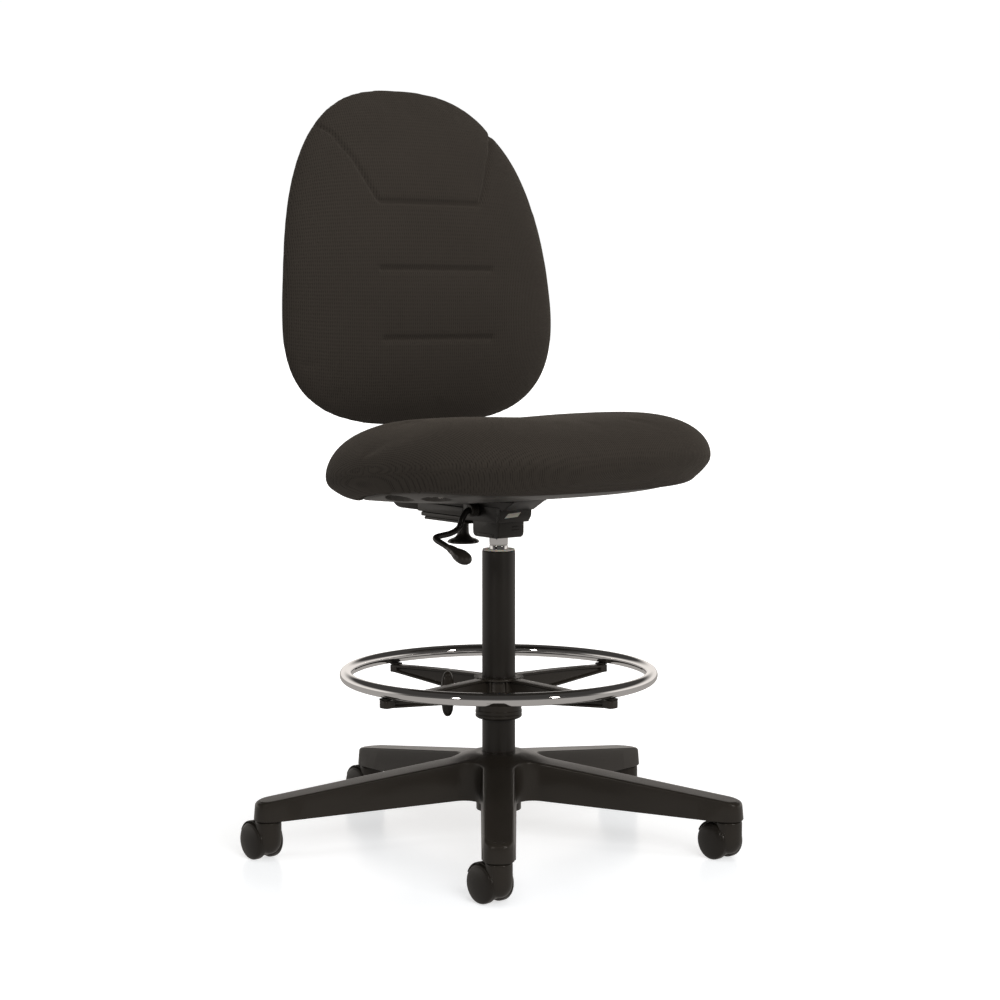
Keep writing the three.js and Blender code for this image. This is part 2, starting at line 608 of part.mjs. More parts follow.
// ---------------------------------------------------------------- back
function backPoint(angle, share, depth) {
  const { halfWide, centre, up, down, upPower, downPower, taper, y, lumbar, lean, leanEase } = BACK;
  const c = Math.cos(angle);
  const s = Math.sin(angle);
  const tall = s >= 0 ? up : down;
  const power = s >= 0 ? upPower : downPower;
  const reach = share * (Math.abs(c) ** power + Math.abs(s) ** power) ** (-1 / power);
  const rise = tall * reach * s;
  const above = Math.max(0, centre + rise - lumbar);
  const x = halfWide * reach * c * (1 - (taper * rise) / up);
  return new THREE.Vector3(x, y + lean * above ** 2 - leanEase * above ** 3 + depth, centre + rise);
}

function backRing(share, depth, sides = 28) {
  const ring = [];
  for (let i = 0; i < sides; i += 1) ring.push(backPoint((i * 2 * Math.PI) / sides, share, depth));
  return ring;
}

function back(parent) {
  const { front, rear, shell, shellInset } = BACK;
  const rings = [];
  for (const share of [0.3, 0.55, 0.74, 0.87, 0.95, 0.99]) {
    rings.push(backRing(share, -front * Math.sqrt(1 - share ** 3)));
  }
  rings.push(backRing(1, 0), backRing(0.985, 9), backRing(shellInset + 0.01, rear));
  for (const share of [0.7, 0.5, 0.3]) rings.push(backRing(share, rear));
  mesh('back_cushion', skin(rings), 'fabric', parent);

  const shellRings = [0.3, 0.5, 0.7, shellInset].map((share) => backRing(share, rear + BACK.shellGap));
  for (const share of [0.91, 0.85, 0.72, 0.5, 0.3]) {
    shellRings.push(backRing(share, rear + 3 + (shell - rear - 3) * Math.sqrt(1 - (share / 0.93) ** 4)));
  }
  mesh('back_shell', skin(shellRings), 'plastic', parent);
}

function backBar(parent) {
  const { half, thick, bottom, rear, corner, start, top } = BAR;
  const shape = new THREE.Shape();
  shape.moveTo(-start, bottom);
  shape.lineTo(-(rear - corner), bottom);
  shape.absarc(-(rear - corner), bottom + corner, corner, -Math.PI / 2, Math.PI, true);
  shape.lineTo(-rear, top);
  shape.lineTo(-(rear - thick), top);
  shape.lineTo(-(rear - thick), bottom + corner);
  shape.absarc(-(rear - corner), bottom + corner, corner - thick, Math.PI, -Math.PI / 2, false);
  shape.lineTo(-start, bottom + thick);
  mesh('back_bar', sideView(shape, half, 3), 'plastic', parent);

  const sleeve = box(
    [-BRACKET.half, BRACKET.half], [BRACKET.front, BRACKET.back], [BRACKET.bottom, BRACKET.top],
  );
  const room = box(
    [-half - 0.4, half + 0.4], [rear - thick - 0.4, rear + 0.4], [BRACKET.bottom - 5, BRACKET.top + 5],
  );
  mesh('back_bracket', carve([sleeve], [room]), 'plastic', parent);
}

// ---------------------------------------------------------------- assembly
const chair = new THREE.Group();
starBase(chair);
casters(chair);
gasColumn(chair);
footring(chair);
tiltHousing(chair);
chassis(chair);
seatBolts(chair);
tensionKnob(chair);
heightLever(chair);
seat(chair);
backBar(chair);
back(chair);

const extent = new THREE.Box3().setFromObject(chair);
const footprint = extent.getCenter(new THREE.Vector3());
chair.position.set(-footprint.x, -footprint.y, -extent.min.z);

const group = new THREE.Group();
group.add(chair);
export default group;
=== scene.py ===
"""Drafting chair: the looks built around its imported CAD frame.

Shapes are laid out in millimetres about the gas column's axis, with the sitter facing -Y, and turned into
metres in the frame's own axes by place(). The chair's main sizes are read from the CAD nodes.
"""

import functools
import json
import math

import bmesh
import bpy
import numpy as np
from mathutils import Matrix, Vector


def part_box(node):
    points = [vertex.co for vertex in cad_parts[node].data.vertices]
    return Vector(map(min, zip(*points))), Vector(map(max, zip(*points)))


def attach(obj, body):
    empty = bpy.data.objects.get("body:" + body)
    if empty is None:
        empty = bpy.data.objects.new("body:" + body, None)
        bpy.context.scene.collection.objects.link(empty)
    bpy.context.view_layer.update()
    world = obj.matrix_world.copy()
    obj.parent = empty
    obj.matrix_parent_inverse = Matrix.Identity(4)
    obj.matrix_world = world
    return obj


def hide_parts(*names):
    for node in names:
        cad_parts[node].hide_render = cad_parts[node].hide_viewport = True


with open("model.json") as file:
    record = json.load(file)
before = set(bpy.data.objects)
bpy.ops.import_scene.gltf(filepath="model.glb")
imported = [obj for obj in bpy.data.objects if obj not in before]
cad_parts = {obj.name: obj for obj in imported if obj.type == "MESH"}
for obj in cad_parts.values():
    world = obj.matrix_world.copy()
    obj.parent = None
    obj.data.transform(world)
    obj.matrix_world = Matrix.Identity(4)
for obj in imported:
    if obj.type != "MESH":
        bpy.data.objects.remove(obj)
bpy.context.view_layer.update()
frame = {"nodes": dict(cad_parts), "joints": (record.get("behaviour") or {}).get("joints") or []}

MM = 0.001


def column_axis():
    low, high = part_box("column_tube")
    return np.array([(low.x + high.x) / 2, (low.y + high.y) / 2, 0.0])


AXIS = column_axis()


def place(points):
    """Millimetres about the column's axis, to metres in the frame."""
    return np.asarray(points, float) * MM + AXIS


@functools.cache
def span(node):
    """A CAD node's lowest and highest corner, in millimetres about the column's axis."""
    low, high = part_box(node)
    return (np.array(low) - AXIS) / MM, (np.array(high) - AXIS) / MM


def centre_of(node):
    """The middle of a CAD node's box, in millimetres about the column's axis."""
    low, high = span(node)
    return (low + high) / 2


def joint_place(name):
    """A joint's anchor, in millimetres about the column's axis."""
    found = next(joint for joint in frame["joints"] if joint["name"] == name)
    return (np.array(found["pos_m"], float) - AXIS) / MM


# ---------------------------------------------------------------- camera, light and floor
CAMERA = {
    "beside": -1993.5, "before": -2645.5, "height": 806.85, "down": 85.056, "turn": -37.034, "lens": 79.95,
    "sensor": 36,
}
WHITE_WALL = 1.02
FLOOR = {"half": 40.0, "drop": 0.0005, "near": 0.4, "far": 1.05, "near_glow": 0.62, "far_glow": 1.1}
SKY = {"floor": 0.38, "backdrop": 0.85, "camera_side": 0.03, "ceiling": 0.05}
WARM = (1.0, 0.94, 0.88)
LAMP_AIM = (0, 0, 0.6)
LAMPS = {
    "overhead": {"spot": (-0.3, -0.9, 3.2), "size": (2.4, 2.4), "watts": 30, "shows": False},
    "frontal": {"spot": (-1.2, -3.7, 2.2), "size": (2.0, 1.6), "watts": 78, "shows": False},
    "front_left": {"spot": (-3.4, -1.5, 1.5), "size": (0.3, 0.7), "watts": 9, "shows": True},
    "front_right": {"spot": (0.2, -3.7, 1.6), "size": (0.3, 0.7), "watts": 16, "shows": True},
}


class Nodes:
    """A shader node tree under construction."""

    def __init__(self, tree):
        self.tree = tree

    def node(self, kind, inputs=None, **settings):
        made = self.tree.nodes.new(kind)
        for key, value in settings.items():
            setattr(made, key, value)
        for key, value in (inputs or {}).items():
            if isinstance(value, bpy.types.NodeSocket):
                self.tree.links.new(value, made.inputs[key])
            else:
                made.inputs[key].default_value = value
        return made

    def math(self, operation, a, b=0.0):
        return self.node("ShaderNodeMath", {0: a, 1: b}, operation=operation).outputs[0]

    def ramp(self, value, low, high, to_low=0.0, to_high=1.0, **settings):
        """value from low..high carried to to_low..to_high."""
        inputs = {"Value": value, "From Min": low, "From Max": high, "To Min": to_low, "To Max": to_high}
        return self.node("ShaderNodeMapRange", inputs, **settings).outputs[0]


def add_camera():
    data = bpy.data.cameras.new("camera")
    data.lens = CAMERA["lens"]
    data.sensor_width = CAMERA["sensor"]
    camera = bpy.data.objects.new("camera", data)
    bpy.context.scene.collection.objects.link(camera)
    camera.location = place([CAMERA["beside"], CAMERA["before"], CAMERA["height"]])
    camera.rotation_euler = (math.radians(CAMERA["down"]), 0, math.radians(CAMERA["turn"]))
    bpy.context.scene.camera = camera


def add_softbox(name, spot, size, watts, shows):
    """A warm area lamp aimed at the chair. One that does not show stays out of glossy reflections."""
    data = bpy.data.lights.new(name, "AREA")
    data.shape = "RECTANGLE"
    data.size, data.size_y = size
    data.energy = watts
    data.color = WARM
    lamp = bpy.data.objects.new(name, data)
    bpy.context.scene.collection.objects.link(lamp)
    lamp.location = Vector(spot)
    lamp.rotation_euler = (Vector(LAMP_AIM) - Vector(spot)).to_track_quat("-Z", "Y").to_euler()
    lamp.visible_glossy = shows


def add_floor():
    """A pale floor that glows to white away from the chair, so that no horizon shows."""
    half = FLOOR["half"]
    corners = [(-half, -half, 0), (half, -half, 0), (half, half, 0), (-half, half, 0)]
    mesh = bpy.data.meshes.new("floor")
    mesh.from_pydata(corners, [], [(0, 1, 2, 3)])
    floor = bpy.data.objects.new("floor", mesh)
    bpy.context.scene.collection.objects.link(floor)
    floor.location.z = -FLOOR["drop"]
    look = Look("pale_floor", (0.76, 0.83, 0.91), 0.22, Specular_IOR_Level=0.25)
    look.shader.inputs["Emission Color"].default_value = (1, 1, 1, 1)
    reach = look.node("ShaderNodeVectorMath", {0: look.coords()}, operation="LENGTH").outputs["Value"]
    glow = look.ramp(reach, FLOOR["near"], FLOOR["far"], FLOOR["near_glow"], FLOOR["far_glow"])
    look.tree.links.new(glow, look.shader.inputs["Emission Strength"])
    mesh.materials.append(look.material)
    floor.visible_diffuse = False
    floor.visible_glossy = False


def add_sky():
    """White where the camera looks past the chair. For all other light it is a studio: a pale floor, a bright
    backdrop and sides, and a dark room behind the camera and overhead."""
    world = bpy.data.worlds.new("studio")
    bpy.context.scene.world = world
    world.use_nodes = True
    world.node_tree.nodes.clear()
    sky = Nodes(world.node_tree)
    looking = sky.node("ShaderNodeTexCoord").outputs["Generated"]
    height = sky.node("ShaderNodeSeparateXYZ", {0: looking}).outputs["Z"]
    turn = math.radians(CAMERA["turn"])
    ahead = (-math.sin(turn), math.cos(turn), 0)
    away = sky.node("ShaderNodeVectorMath", {0: looking, 1: ahead}, operation="DOT_PRODUCT").outputs["Value"]
    soft_step = {"interpolation_type": "SMOOTHSTEP"}
    wall = sky.ramp(away, -0.42, 0.05, SKY["camera_side"], SKY["backdrop"], **soft_step)
    share = sky.ramp(height, 0.16, 0.42, 1.0, 0.0, **soft_step)
    upper = sky.math("ADD", sky.math("MULTIPLY", wall, share), SKY["ceiling"])
    floor_share = sky.ramp(height, -0.06, -0.01, 1.0, 0.0, **soft_step)
    wall_share = sky.math("SUBTRACT", 1.0, floor_share)
    below = sky.math("MULTIPLY", floor_share, SKY["floor"])
    above = sky.math("MULTIPLY", wall_share, upper)
    grade = sky.math("ADD", below, above)
    soft = sky.node("ShaderNodeBackground", {"Strength": grade, "Color": (*WARM, 1)})
    plain = sky.node("ShaderNodeBackground", {"Color": (WHITE_WALL, WHITE_WALL, WHITE_WALL, 1)})
    seen = sky.node("ShaderNodeLightPath").outputs["Is Camera Ray"]
    mix = sky.node("ShaderNodeMixShader", {0: seen, 1: soft.outputs[0], 2: plain.outputs[0]})
    sky.node("ShaderNodeOutputWorld", {"Surface": mix.outputs[0]})


def add_studio():
    add_camera()
    add_sky()
    add_floor()
    for name, lamp in LAMPS.items():
        add_softbox(name, **lamp)
    view = bpy.context.scene.view_settings
    view.view_transform = "Standard"
    view.look = "None"


# ---------------------------------------------------------------- materials
class Look(Nodes):
    """A procedural material under construction: nodes hang off one Principled shader."""

    def __init__(self, name, color, roughness, **constants):
        self.material = bpy.data.materials.new(name)
        self.material.use_nodes = True
        super().__init__(self.material.node_tree)
        self.shader = self.tree.nodes["Principled BSDF"]
        self.shader.inputs["Base Color"].default_value = (*color, 1)
        self.shader.inputs["Roughness"].default_value = roughness
        for socket, value in constants.items():
            self.shader.inputs[socket.replace("_", " ")].default_value = value
        self.color = color

    def coords(self):
        return self.node("ShaderNodeTexCoord").outputs["Object"]

    def noise(self, scale, detail=2.0, where=None):
        return self.node(
            "ShaderNodeTexNoise", {"Vector": where or self.coords(), "Scale": scale, "Detail": detail}
        ).outputs[0]

    def tint(self, share, dark, light):
        """The base colour, scaled between dark and light as share goes from 0 to 1."""
        mix = self.node("ShaderNodeMix", {0: share}, data_type="RGBA")
        mix.inputs["A"].default_value = (*(c * dark for c in self.color), 1)
        mix.inputs["B"].default_value = (*(c * light for c in self.color), 1)
        self.tree.links.new(mix.outputs["Result"], self.shader.inputs["Base Color"])
        return mix.outputs["Result"]

    def rough(self, share, low, high):
        self.tree.links.new(self.ramp(share, 0, 1, low, high), self.shader.inputs["Roughness"])

    def bump(self, height, distance, strength=1.0):
        made = self.node("ShaderNodeBump", {"Height": height, "Distance": distance, "Strength": strength})
        self.tree.links.new(made.outputs[0], self.shader.inputs["Normal"])

    def edge_wear_and_highlight(self, gain=1.0):
        """0 on flat faces, up to 1 on outer edges: the share by which edges are painted lighter, as rubbed
        wear and a painted edge highlight.
        """
        pointed = self.node("ShaderNodeNewGeometry").outputs["Pointiness"]
        return self.ramp(pointed, 0.52, 0.60, 0.0, gain)


def moulded_plastic(name, color, roughness, grain=1800, specular=0.32):
    """Satin moulded plastic: a fine spark grain, slow gloss changes and outer edges painted lighter, as slight
    rubbed wear and a painted edge highlight.
    """
    look = Look(name, color, roughness, Specular_IOR_Level=specular, Coat_Weight=0.2, Coat_Roughness=0.16)
    grains = look.noise(grain, 1.0)
    patches = look.noise(14, 3.0)
    # Outer edges, broken up by noise, are painted lighter: rubbed wear and a painted edge highlight.
    wear_and_highlight = look.math("MULTIPLY", look.edge_wear_and_highlight(), look.noise(60, 3.0))
    share = look.math("ADD", look.math("MULTIPLY", patches, 0.6), look.math("MULTIPLY", wear_and_highlight, 0.9))
    look.tint(share, 0.82, 1.45)
    look.rough(look.math("ADD", look.math("MULTIPLY", patches, 0.5), look.math("MULTIPLY", grains, 0.5)),
               roughness - 0.09, roughness + 0.11)
    look.bump(grains, 0.00006)
    return look.material


def powder_coat(name, color, roughness):
    """Powder-coated steel: a soft orange peel over a satin black."""
    look = Look(name, color, roughness, Specular_IOR_Level=0.4, Coat_Weight=0.15, Coat_Roughness=0.25)
    peel = look.noise(420, 2.0)
    patches = look.noise(20, 3.0)
    # Outer edges are painted a little lighter: rubbed wear and a painted edge highlight.
    look.tint(look.math("ADD", look.math("MULTIPLY", patches, 0.7), look.edge_wear_and_highlight(0.5)), 0.8, 1.35)
    look.rough(patches, roughness - 0.07, roughness + 0.1)
    look.bump(peel, 0.00012)
    return look.material


def metal(name, color, roughness, ripple=0.00002):
    """Plated metal: near-mirror, with the faintest waviness, and fine streaks in its gloss."""
    look = Look(name, color, roughness, Metallic=1.0)
    streaks = look.noise(900, 4.0)
    smears = look.noise(26, 3.0)
    look.tint(smears, 0.92, 1.04)
    look.rough(look.math("MULTIPLY", streaks, smears), roughness * 0.5, roughness * 2.2)
    look.bump(look.noise(90, 2.0), ripple)
    return look.material


def rubber(name, color):
    look = Look(name, color, 0.8, Specular_IOR_Level=0.25)
    grains = look.noise(900, 3.0)
    look.tint(grains, 0.8, 1.3)
    look.rough(grains, 0.7, 0.95)
    look.bump(grains, 0.0001)
    return look.material


def translucent_nylon(name, color):
    look = Look(name, color, 0.45, Subsurface_Weight=0.25, Subsurface_Scale=0.002)
    cloud = look.noise(70, 3.0)
    look.tint(cloud, 0.9, 1.05)
    look.rough(cloud, 0.38, 0.55)
    look.bump(look.noise(1200, 1.0), 0.00004)
    return look.material


KNIT_PITCH = 0.0040
KNIT_ROW = 0.0030
KNIT_DRIFT = 0.0012
WEAVE = "weave"


def knit(name, color):
    """A spacer knit of dimples in columns. The weave attribute holds metres along the cloth."""
    look = Look(name, color, 0.92, Specular_IOR_Level=0.16, Sheen_Weight=0.10, Sheen_Roughness=0.5,
                Sheen_Tint=(0.85, 0.78, 0.70, 1.0))
    cloth = look.node("ShaderNodeAttribute", attribute_name=WEAVE).outputs["Vector"]
    drift = look.node("ShaderNodeTexNoise", {"Vector": cloth, "Scale": 55.0, "Detail": 1.0}).outputs["Color"]
    wander = {0: drift, 1: (KNIT_DRIFT, KNIT_DRIFT, 0.0)}
    moved = look.node("ShaderNodeVectorMath", wander, operation="MULTIPLY").outputs[0]
    cloth = look.node("ShaderNodeVectorMath", {0: cloth, 1: moved}, operation="ADD").outputs[0]
    split = look.node("ShaderNodeSeparateXYZ", {0: cloth})
    across = look.math("SINE", look.math("MULTIPLY", split.outputs["X"], 2 * math.pi / KNIT_PITCH))
    along = look.math("SINE", look.math("MULTIPLY", split.outputs["Y"], math.pi / KNIT_ROW))
    cells = look.math("MULTIPLY", across, look.ramp(along, -1, 1, 0.1, 1.0))
    dimples = look.ramp(cells, -0.1, 0.9)
    pile = look.node("ShaderNodeTexNoise", {"Vector": cloth, "Scale": 1500.0, "Detail": 2.0}).outputs[0]
    patches = look.noise(9, 4.0)
    # The dimples, which the bump sinks, are painted darker than their rims: painted shade in the hollows.
    light = look.math("ADD", look.math("MULTIPLY", look.math("SUBTRACT", 1.0, dimples), 0.7),
                      look.math("MULTIPLY", patches, 0.3))
    mix = look.tint(light, 0.45, 1.5)
    fuzz = look.node("ShaderNodeMix", {0: look.math("MULTIPLY", pile, 0.25)}, data_type="RGBA")
    look.tree.links.new(mix, fuzz.inputs["A"])
    fuzz.inputs["B"].default_value = (*(c * 1.9 for c in color), 1)
    look.tree.links.new(fuzz.outputs["Result"], look.shader.inputs["Base Color"])
    look.rough(pile, 0.84, 1.0)
    height = look.math("SUBTRACT", 1.0, dimples)
    look.bump(look.math("ADD", height, look.math("MULTIPLY", pile, 0.15)), 0.0005, 0.8)
    return look.material


def add_materials():
    """One material for each of the record's slots."""
    return {
        "fabric_knit": knit("fabric_knit", (0.0292, 0.0260, 0.0228)),
        "black_plastic": moulded_plastic("black_plastic", (0.0235, 0.0206, 0.0172), 0.34),
        "pan_plastic": moulded_plastic("pan_plastic", (0.052, 0.048, 0.043), 0.46, grain=1300),
        "wheel_plastic": moulded_plastic("wheel_plastic", (0.0150, 0.0130, 0.0108), 0.34, specular=0.32),
        "black_steel": powder_coat("black_steel", (0.0134, 0.0118, 0.0098), 0.34),
        "chrome_plate": metal("chrome_plate", (0.86, 0.86, 0.87), 0.05),
        "zinc_steel": metal("zinc_steel", (0.28, 0.265, 0.25), 0.26, ripple=0.00006),
        "natural_nylon": translucent_nylon("natural_nylon", (0.72, 0.70, 0.64)),
        "soft_rubber": rubber("soft_rubber", (0.024, 0.022, 0.020)),
    }


# ---------------------------------------------------------------- mesh helpers
SHARP = 38


def new_object(name, points, faces, weld=True):
    """An object in the scene from points in millimetres about the column, with its normals turned out."""
    mesh = bpy.data.meshes.new(name)
    mesh.from_pydata([tuple(p) for p in place(points)], [], [tuple(f) for f in faces])
    work = bmesh.new()
    work.from_mesh(mesh)
    if weld:
        bmesh.ops.remove_doubles(work, verts=work.verts, dist=0.000008)
        bmesh.ops.dissolve_degenerate(work, edges=work.edges, dist=0.000004)
    bmesh.ops.recalc_face_normals(work, faces=work.faces)
    work.to_mesh(mesh)
    work.free()
    made = bpy.data.objects.new(name, mesh)
    bpy.context.scene.collection.objects.link(made)
    return made


def piece(name, points, faces, body, slot, replaces=(), sharp=SHARP):
    """A closed mesh riding on a body, with edges sharper than the given degrees creased."""
    made = new_object(name, points, faces)
    made.data.shade_smooth()
    if sharp is not None:
        made.data.set_sharp_from_angle(angle=math.radians(sharp))
    made.data.materials.append(MATERIALS[slot])
    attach(made, body)
    if replaces:
        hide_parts(*replaces)
    return made


class Shape:
    """Points and faces gathered from several closed forms that make up one piece."""

    def __init__(self):
        self.points = []
        self.faces = []

    def add(self, points, faces, move=None):
        start = len(self.points)
        for point in points:
            self.points.append(point if move is None else move(point))
        self.faces += [[start + i for i in face] for face in faces]
        return self

    def make(self, name, body, slot, replaces=(), sharp=SHARP):
        return piece(name, self.points, self.faces, body, slot, replaces, sharp)


def skin(rings, capped=True):
    """A skin over rings of equal point counts, closed at both ends."""
    count = len(rings[0])
    points = [tuple(p) for ring in rings for p in ring]
    faces = []
    for ring in range(len(rings) - 1):
        for side in range(count):
            a = ring * count + side
            b = ring * count + (side + 1) % count
            faces.append((a, b, b + count, a + count))
    if capped:
        faces.append(tuple(range(count)))
        faces.append(tuple(range((len(rings) - 1) * count, len(rings) * count)))
    return points, faces


def soften(corners, radius, closed=False, steps=4):
    """A polyline with each corner rounded; radius is one number, or one for each corner."""
    rounded = []
    count = len(corners)
    for i, corner in enumerate(corners):
        reach = radius[i] if isinstance(radius, (list, tuple)) else radius
        here = Vector(corner)
        if reach == 0 or (not closed and i in (0, count - 1)):
            rounded.append(tuple(here))
            continue
        back = Vector(corners[i - 1]) - here
        ahead = Vector(corners[(i + 1) % count]) - here
        cut = min(reach, back.length * 0.48, ahead.length * 0.48)
        start = here + back.normalized() * cut
        end = here + ahead.normalized() * cut
        for k in range(steps + 1):
            t = k / steps
            rounded.append(tuple(start * (1 - t) ** 2 + here * (2 * t * (1 - t)) + end * t * t))
    return rounded


def lathe(profile, steps=96, waves=None):
    """Turns an open [radius, height] profile about Z. waves(angle, radius, height) may change the radius."""
    points, faces, rows = [], [], []
    for radius, height in profile:
        if radius < 1e-6:
            rows.append([len(points)])
            points.append((0.0, 0.0, height))
            continue
        row = []
        for i in range(steps):
            angle = 2 * math.pi * i / steps
            reach = radius if waves is None else waves(angle, radius, height)
            row.append(len(points))
            points.append((reach * math.cos(angle), reach * math.sin(angle), height))
        rows.append(row)
    for low, high in zip(rows, rows[1:]):
        for i in range(steps):
            j = (i + 1) % steps
            if len(low) == 1 and len(high) == 1:
                continue
            if len(low) == 1:
                faces.append((low[0], high[j], high[i]))
            elif len(high) == 1:
                faces.append((low[i], low[j], high[0]))
            else:
                faces.append((low[i], low[j], high[j], high[i]))
    return points, faces


def ring_lathe(profile, steps=96):
    """Turns a closed [radius, height] profile that stays clear of the axis."""
    return lathe([*profile, profile[0]], steps)


def inward(outline):
    """Unit normals that point into a closed 2-D outline."""
    points = np.asarray(outline, float)
    along = np.roll(points, -1, 0) - np.roll(points, 1, 0)
    normals = np.stack([-along[:, 1], along[:, 0]], 1)
    normals /= np.maximum(np.linalg.norm(normals, axis=1, keepdims=True), 1e-9)
    turn = np.roll(points, -1, 0)
    area = np.sum(points[:, 0] * turn[:, 1] - turn[:, 0] * points[:, 1])
    return normals if area > 0 else -normals


def prism(outline, low, high, edge, to_chair, steps=3):
    """Extrudes a closed 2-D outline from low to high with rounded rims; to_chair(u, v, w) gives the place."""
    normals = inward(outline)
    points = np.asarray(outline, float)
    levels = []
    for k in range(steps + 1):
        angle = math.pi / 2 * k / steps
        levels.append((edge * (1 - math.sin(angle)), low + edge * (1 - math.cos(angle))))
    levels += [(inset, high - (height - low)) for inset, height in reversed(levels)]
    rings = []
    for inset, height in levels:
        moved = points + normals * inset
        rings.append([to_chair(u, v, height) for u, v in moved])
    return skin(rings)


def upright(u, v, w):
    """The place of an outline point drawn in plan and extruded upwards."""
    return u, v, w


def side_view(corners, half, edge=1.2, radius=1.5, middle=0.0):
    """A [forward, height] outline extruded across the chair, with rounded corners and rims."""
    outline = soften(corners, radius, closed=True)
    return prism(outline, middle - half, middle + half, edge, lambda u, v, w: (w, -u, v))


def block(x, y, z, edge=1.0):
    """A box with rounded edges, given as its low and high on each axis."""
    corners = rectangle((x[0], y[0]), (x[1], y[1]))
    return prism(soften(corners, edge, closed=True), z[0], z[1], edge, upright)


def curve_through(route, per_leg=8):
    """Catmull-Rom points through a given route."""
    points = [Vector(p) for p in route]
    padded = [points[0] * 2 - points[1], *points, points[-1] * 2 - points[-2]]
    smooth = []
    for a, b, c, d in zip(padded, padded[1:], padded[2:], padded[3:]):
        for k in range(per_leg):
            t = k / per_leg
            smooth.append(0.5 * ((2 * b) + (c - a) * t + (2 * a - 5 * b + 4 * c - d) * t * t
                                 + (3 * b - a - 3 * c + d) * t ** 3))
    smooth.append(points[-1])
    return smooth


def sweep(path, section):
    """A section of (u, v) points carried along a path without twisting."""
    rings = []
    side = None
    for i, here in enumerate(path):
        before = path[max(0, i - 1)]
        after = path[min(len(path) - 1, i + 1)]
        ahead = (after - before).normalized()
        if side is None:
            side = ahead.orthogonal().normalized()
        side = (side - ahead * side.dot(ahead)).normalized()
        up = ahead.cross(side)
        size = section(i / (len(path) - 1))
        rings.append([tuple(here + side * u + up * v) for u, v in size])
    return skin(rings)


def circle(radius, steps):
    return [(radius * math.cos(2 * math.pi * k / steps), radius * math.sin(2 * math.pi * k / steps))
            for k in range(steps)]


def arc(radius, start, end, steps=32):
    """Points on an arc about the origin, from one angle to another."""
    angles = [start + (end - start) * k / steps for k in range(steps + 1)]
    return [(radius * math.cos(angle), radius * math.sin(angle)) for angle in angles]


def squircle(c, s, power):
    """How far a superellipse of unit size reaches in the direction whose cosine and sine are c and s."""
    return (abs(c) ** power + abs(s) ** power) ** (-1 / power)


def rectangle(low, high):
    """The four corners of an upright box's plan."""
    return [(low[0], low[1]), (high[0], low[1]), (high[0], high[1]), (low[0], high[1])]


def pin(radius, low, high, bevel, steps):
    """A round pin along Z with eased rims."""
    return lathe(soften([(0, low), (radius, low), (radius, high), (0, high)], [0, bevel, bevel, 0]), steps)


def turner(degrees, offset=(0.0, 0.0, 0.0)):
    """A move that turns a point about Z and then shifts it."""
    turn = Matrix.Rotation(math.radians(degrees), 3, "Z")
    shift = Vector(offset)
    return lambda point: tuple(turn @ Vector(point) + shift)


def smoothstep(low, high, value):
    t = np.clip((value - low) / (high - low), 0.0, 1.0)
    return t * t * (3 - 2 * t)


MATERIALS = add_materials()

# ---------------------------------------------------------------- star base
LEGS = 5
LEG = {
    "first": 17, "root": 33, "root_half": 24, "root_bottom": 75, "fillet": 32,
    "tip_centre": 350.5, "tip_reach": 23.6, "tip_half": 20.6, "tip_bottom": 59.5, "tip_top": 90.4,
    "tip_power": 2.5, "edge": 2.6, "tip_edge": 6.5, "draft": 3.2, "tip_draft": 2.0,
    "shoulder": 4.7, "shoulder_end": 78,
    "skin": 4.5, "channel_start": 66, "channel_end": 316, "rib_first": 96, "rib_step": 44, "rib_thick": 2.6,
}
HUB = {"bore": 25.3, "radius": 36, "socket": 52}
LEG_TURN = math.pi / LEGS


def leg_half(along):
    run = (along - LEG["root"]) / (LEG["tip_centre"] - LEG["root"])
    return LEG["root_half"] + (LEG["tip_half"] - LEG["root_half"]) * min(1.0, max(0.0, run))


def leg_top(reach):
    """Height of a leg's upper face at a reach from the column's axis: a low hub on a straight slope."""
    high = span("star_base")[1][2]
    run = max(0.0, reach - HUB["radius"]) / (LEG["tip_centre"] - HUB["radius"])
    slope = high - LEG["shoulder"] - (high - LEG["shoulder"] - LEG["tip_top"]) * run
    return slope + LEG["shoulder"] * float(smoothstep(LEG["shoulder_end"], HUB["radius"], reach))


def leg_bottom(reach):
    if reach < HUB["radius"] - 2:
        return HUB["socket"]
    run = min(1.0, (reach - LEG["root"]) / (LEG["tip_centre"] - LEG["root"]))
    return LEG["root_bottom"] + (LEG["tip_bottom"] - LEG["root_bottom"]) * run


def leg_outline():
    """Half of one leg's plan, from the middle of the fillet between two legs to the leg's tip."""
    half, fillet = leg_half(80), LEG["fillet"]
    centre = ((half + fillet) / math.tan(LEG_TURN), half + fillet)
    start = LEG_TURN + math.pi
    points = []
    for k in range(9):
        angle = start + (1.5 * math.pi - start) * k / 8
        points.append((centre[0] + fillet * math.cos(angle), centre[1] + fillet * math.sin(angle)))
    for along in leg_stations():
        if along > centre[0] + 1:
            points.append((along, leg_half(along)))
    for k in range(17):
        angle = math.pi / 2 * (1 - k / 16)
        c, s = math.cos(angle), math.sin(angle)
        reach = squircle(c, s, LEG["tip_power"])
        points.append((LEG["tip_centre"] + LEG["tip_reach"] * reach * c, LEG["tip_half"] * reach * s))
    return points


def leg_ribs():
    return list(range(LEG["rib_first"], LEG["channel_end"] - 20, LEG["rib_step"]))


def leg_stations():
    """Distances along a leg where the mesh needs a row: the channel's ends and both sides of each rib."""
    marks = [LEG["channel_start"] + 16, LEG["channel_end"], LEG["channel_end"] + 1]
    for rib in leg_ribs():
        marks += [rib - 0.6, rib, rib + LEG["rib_thick"], rib + LEG["rib_thick"] + 0.6]
    marks += range(84, LEG["channel_end"] + 24, 22)
    return sorted(set(marks))


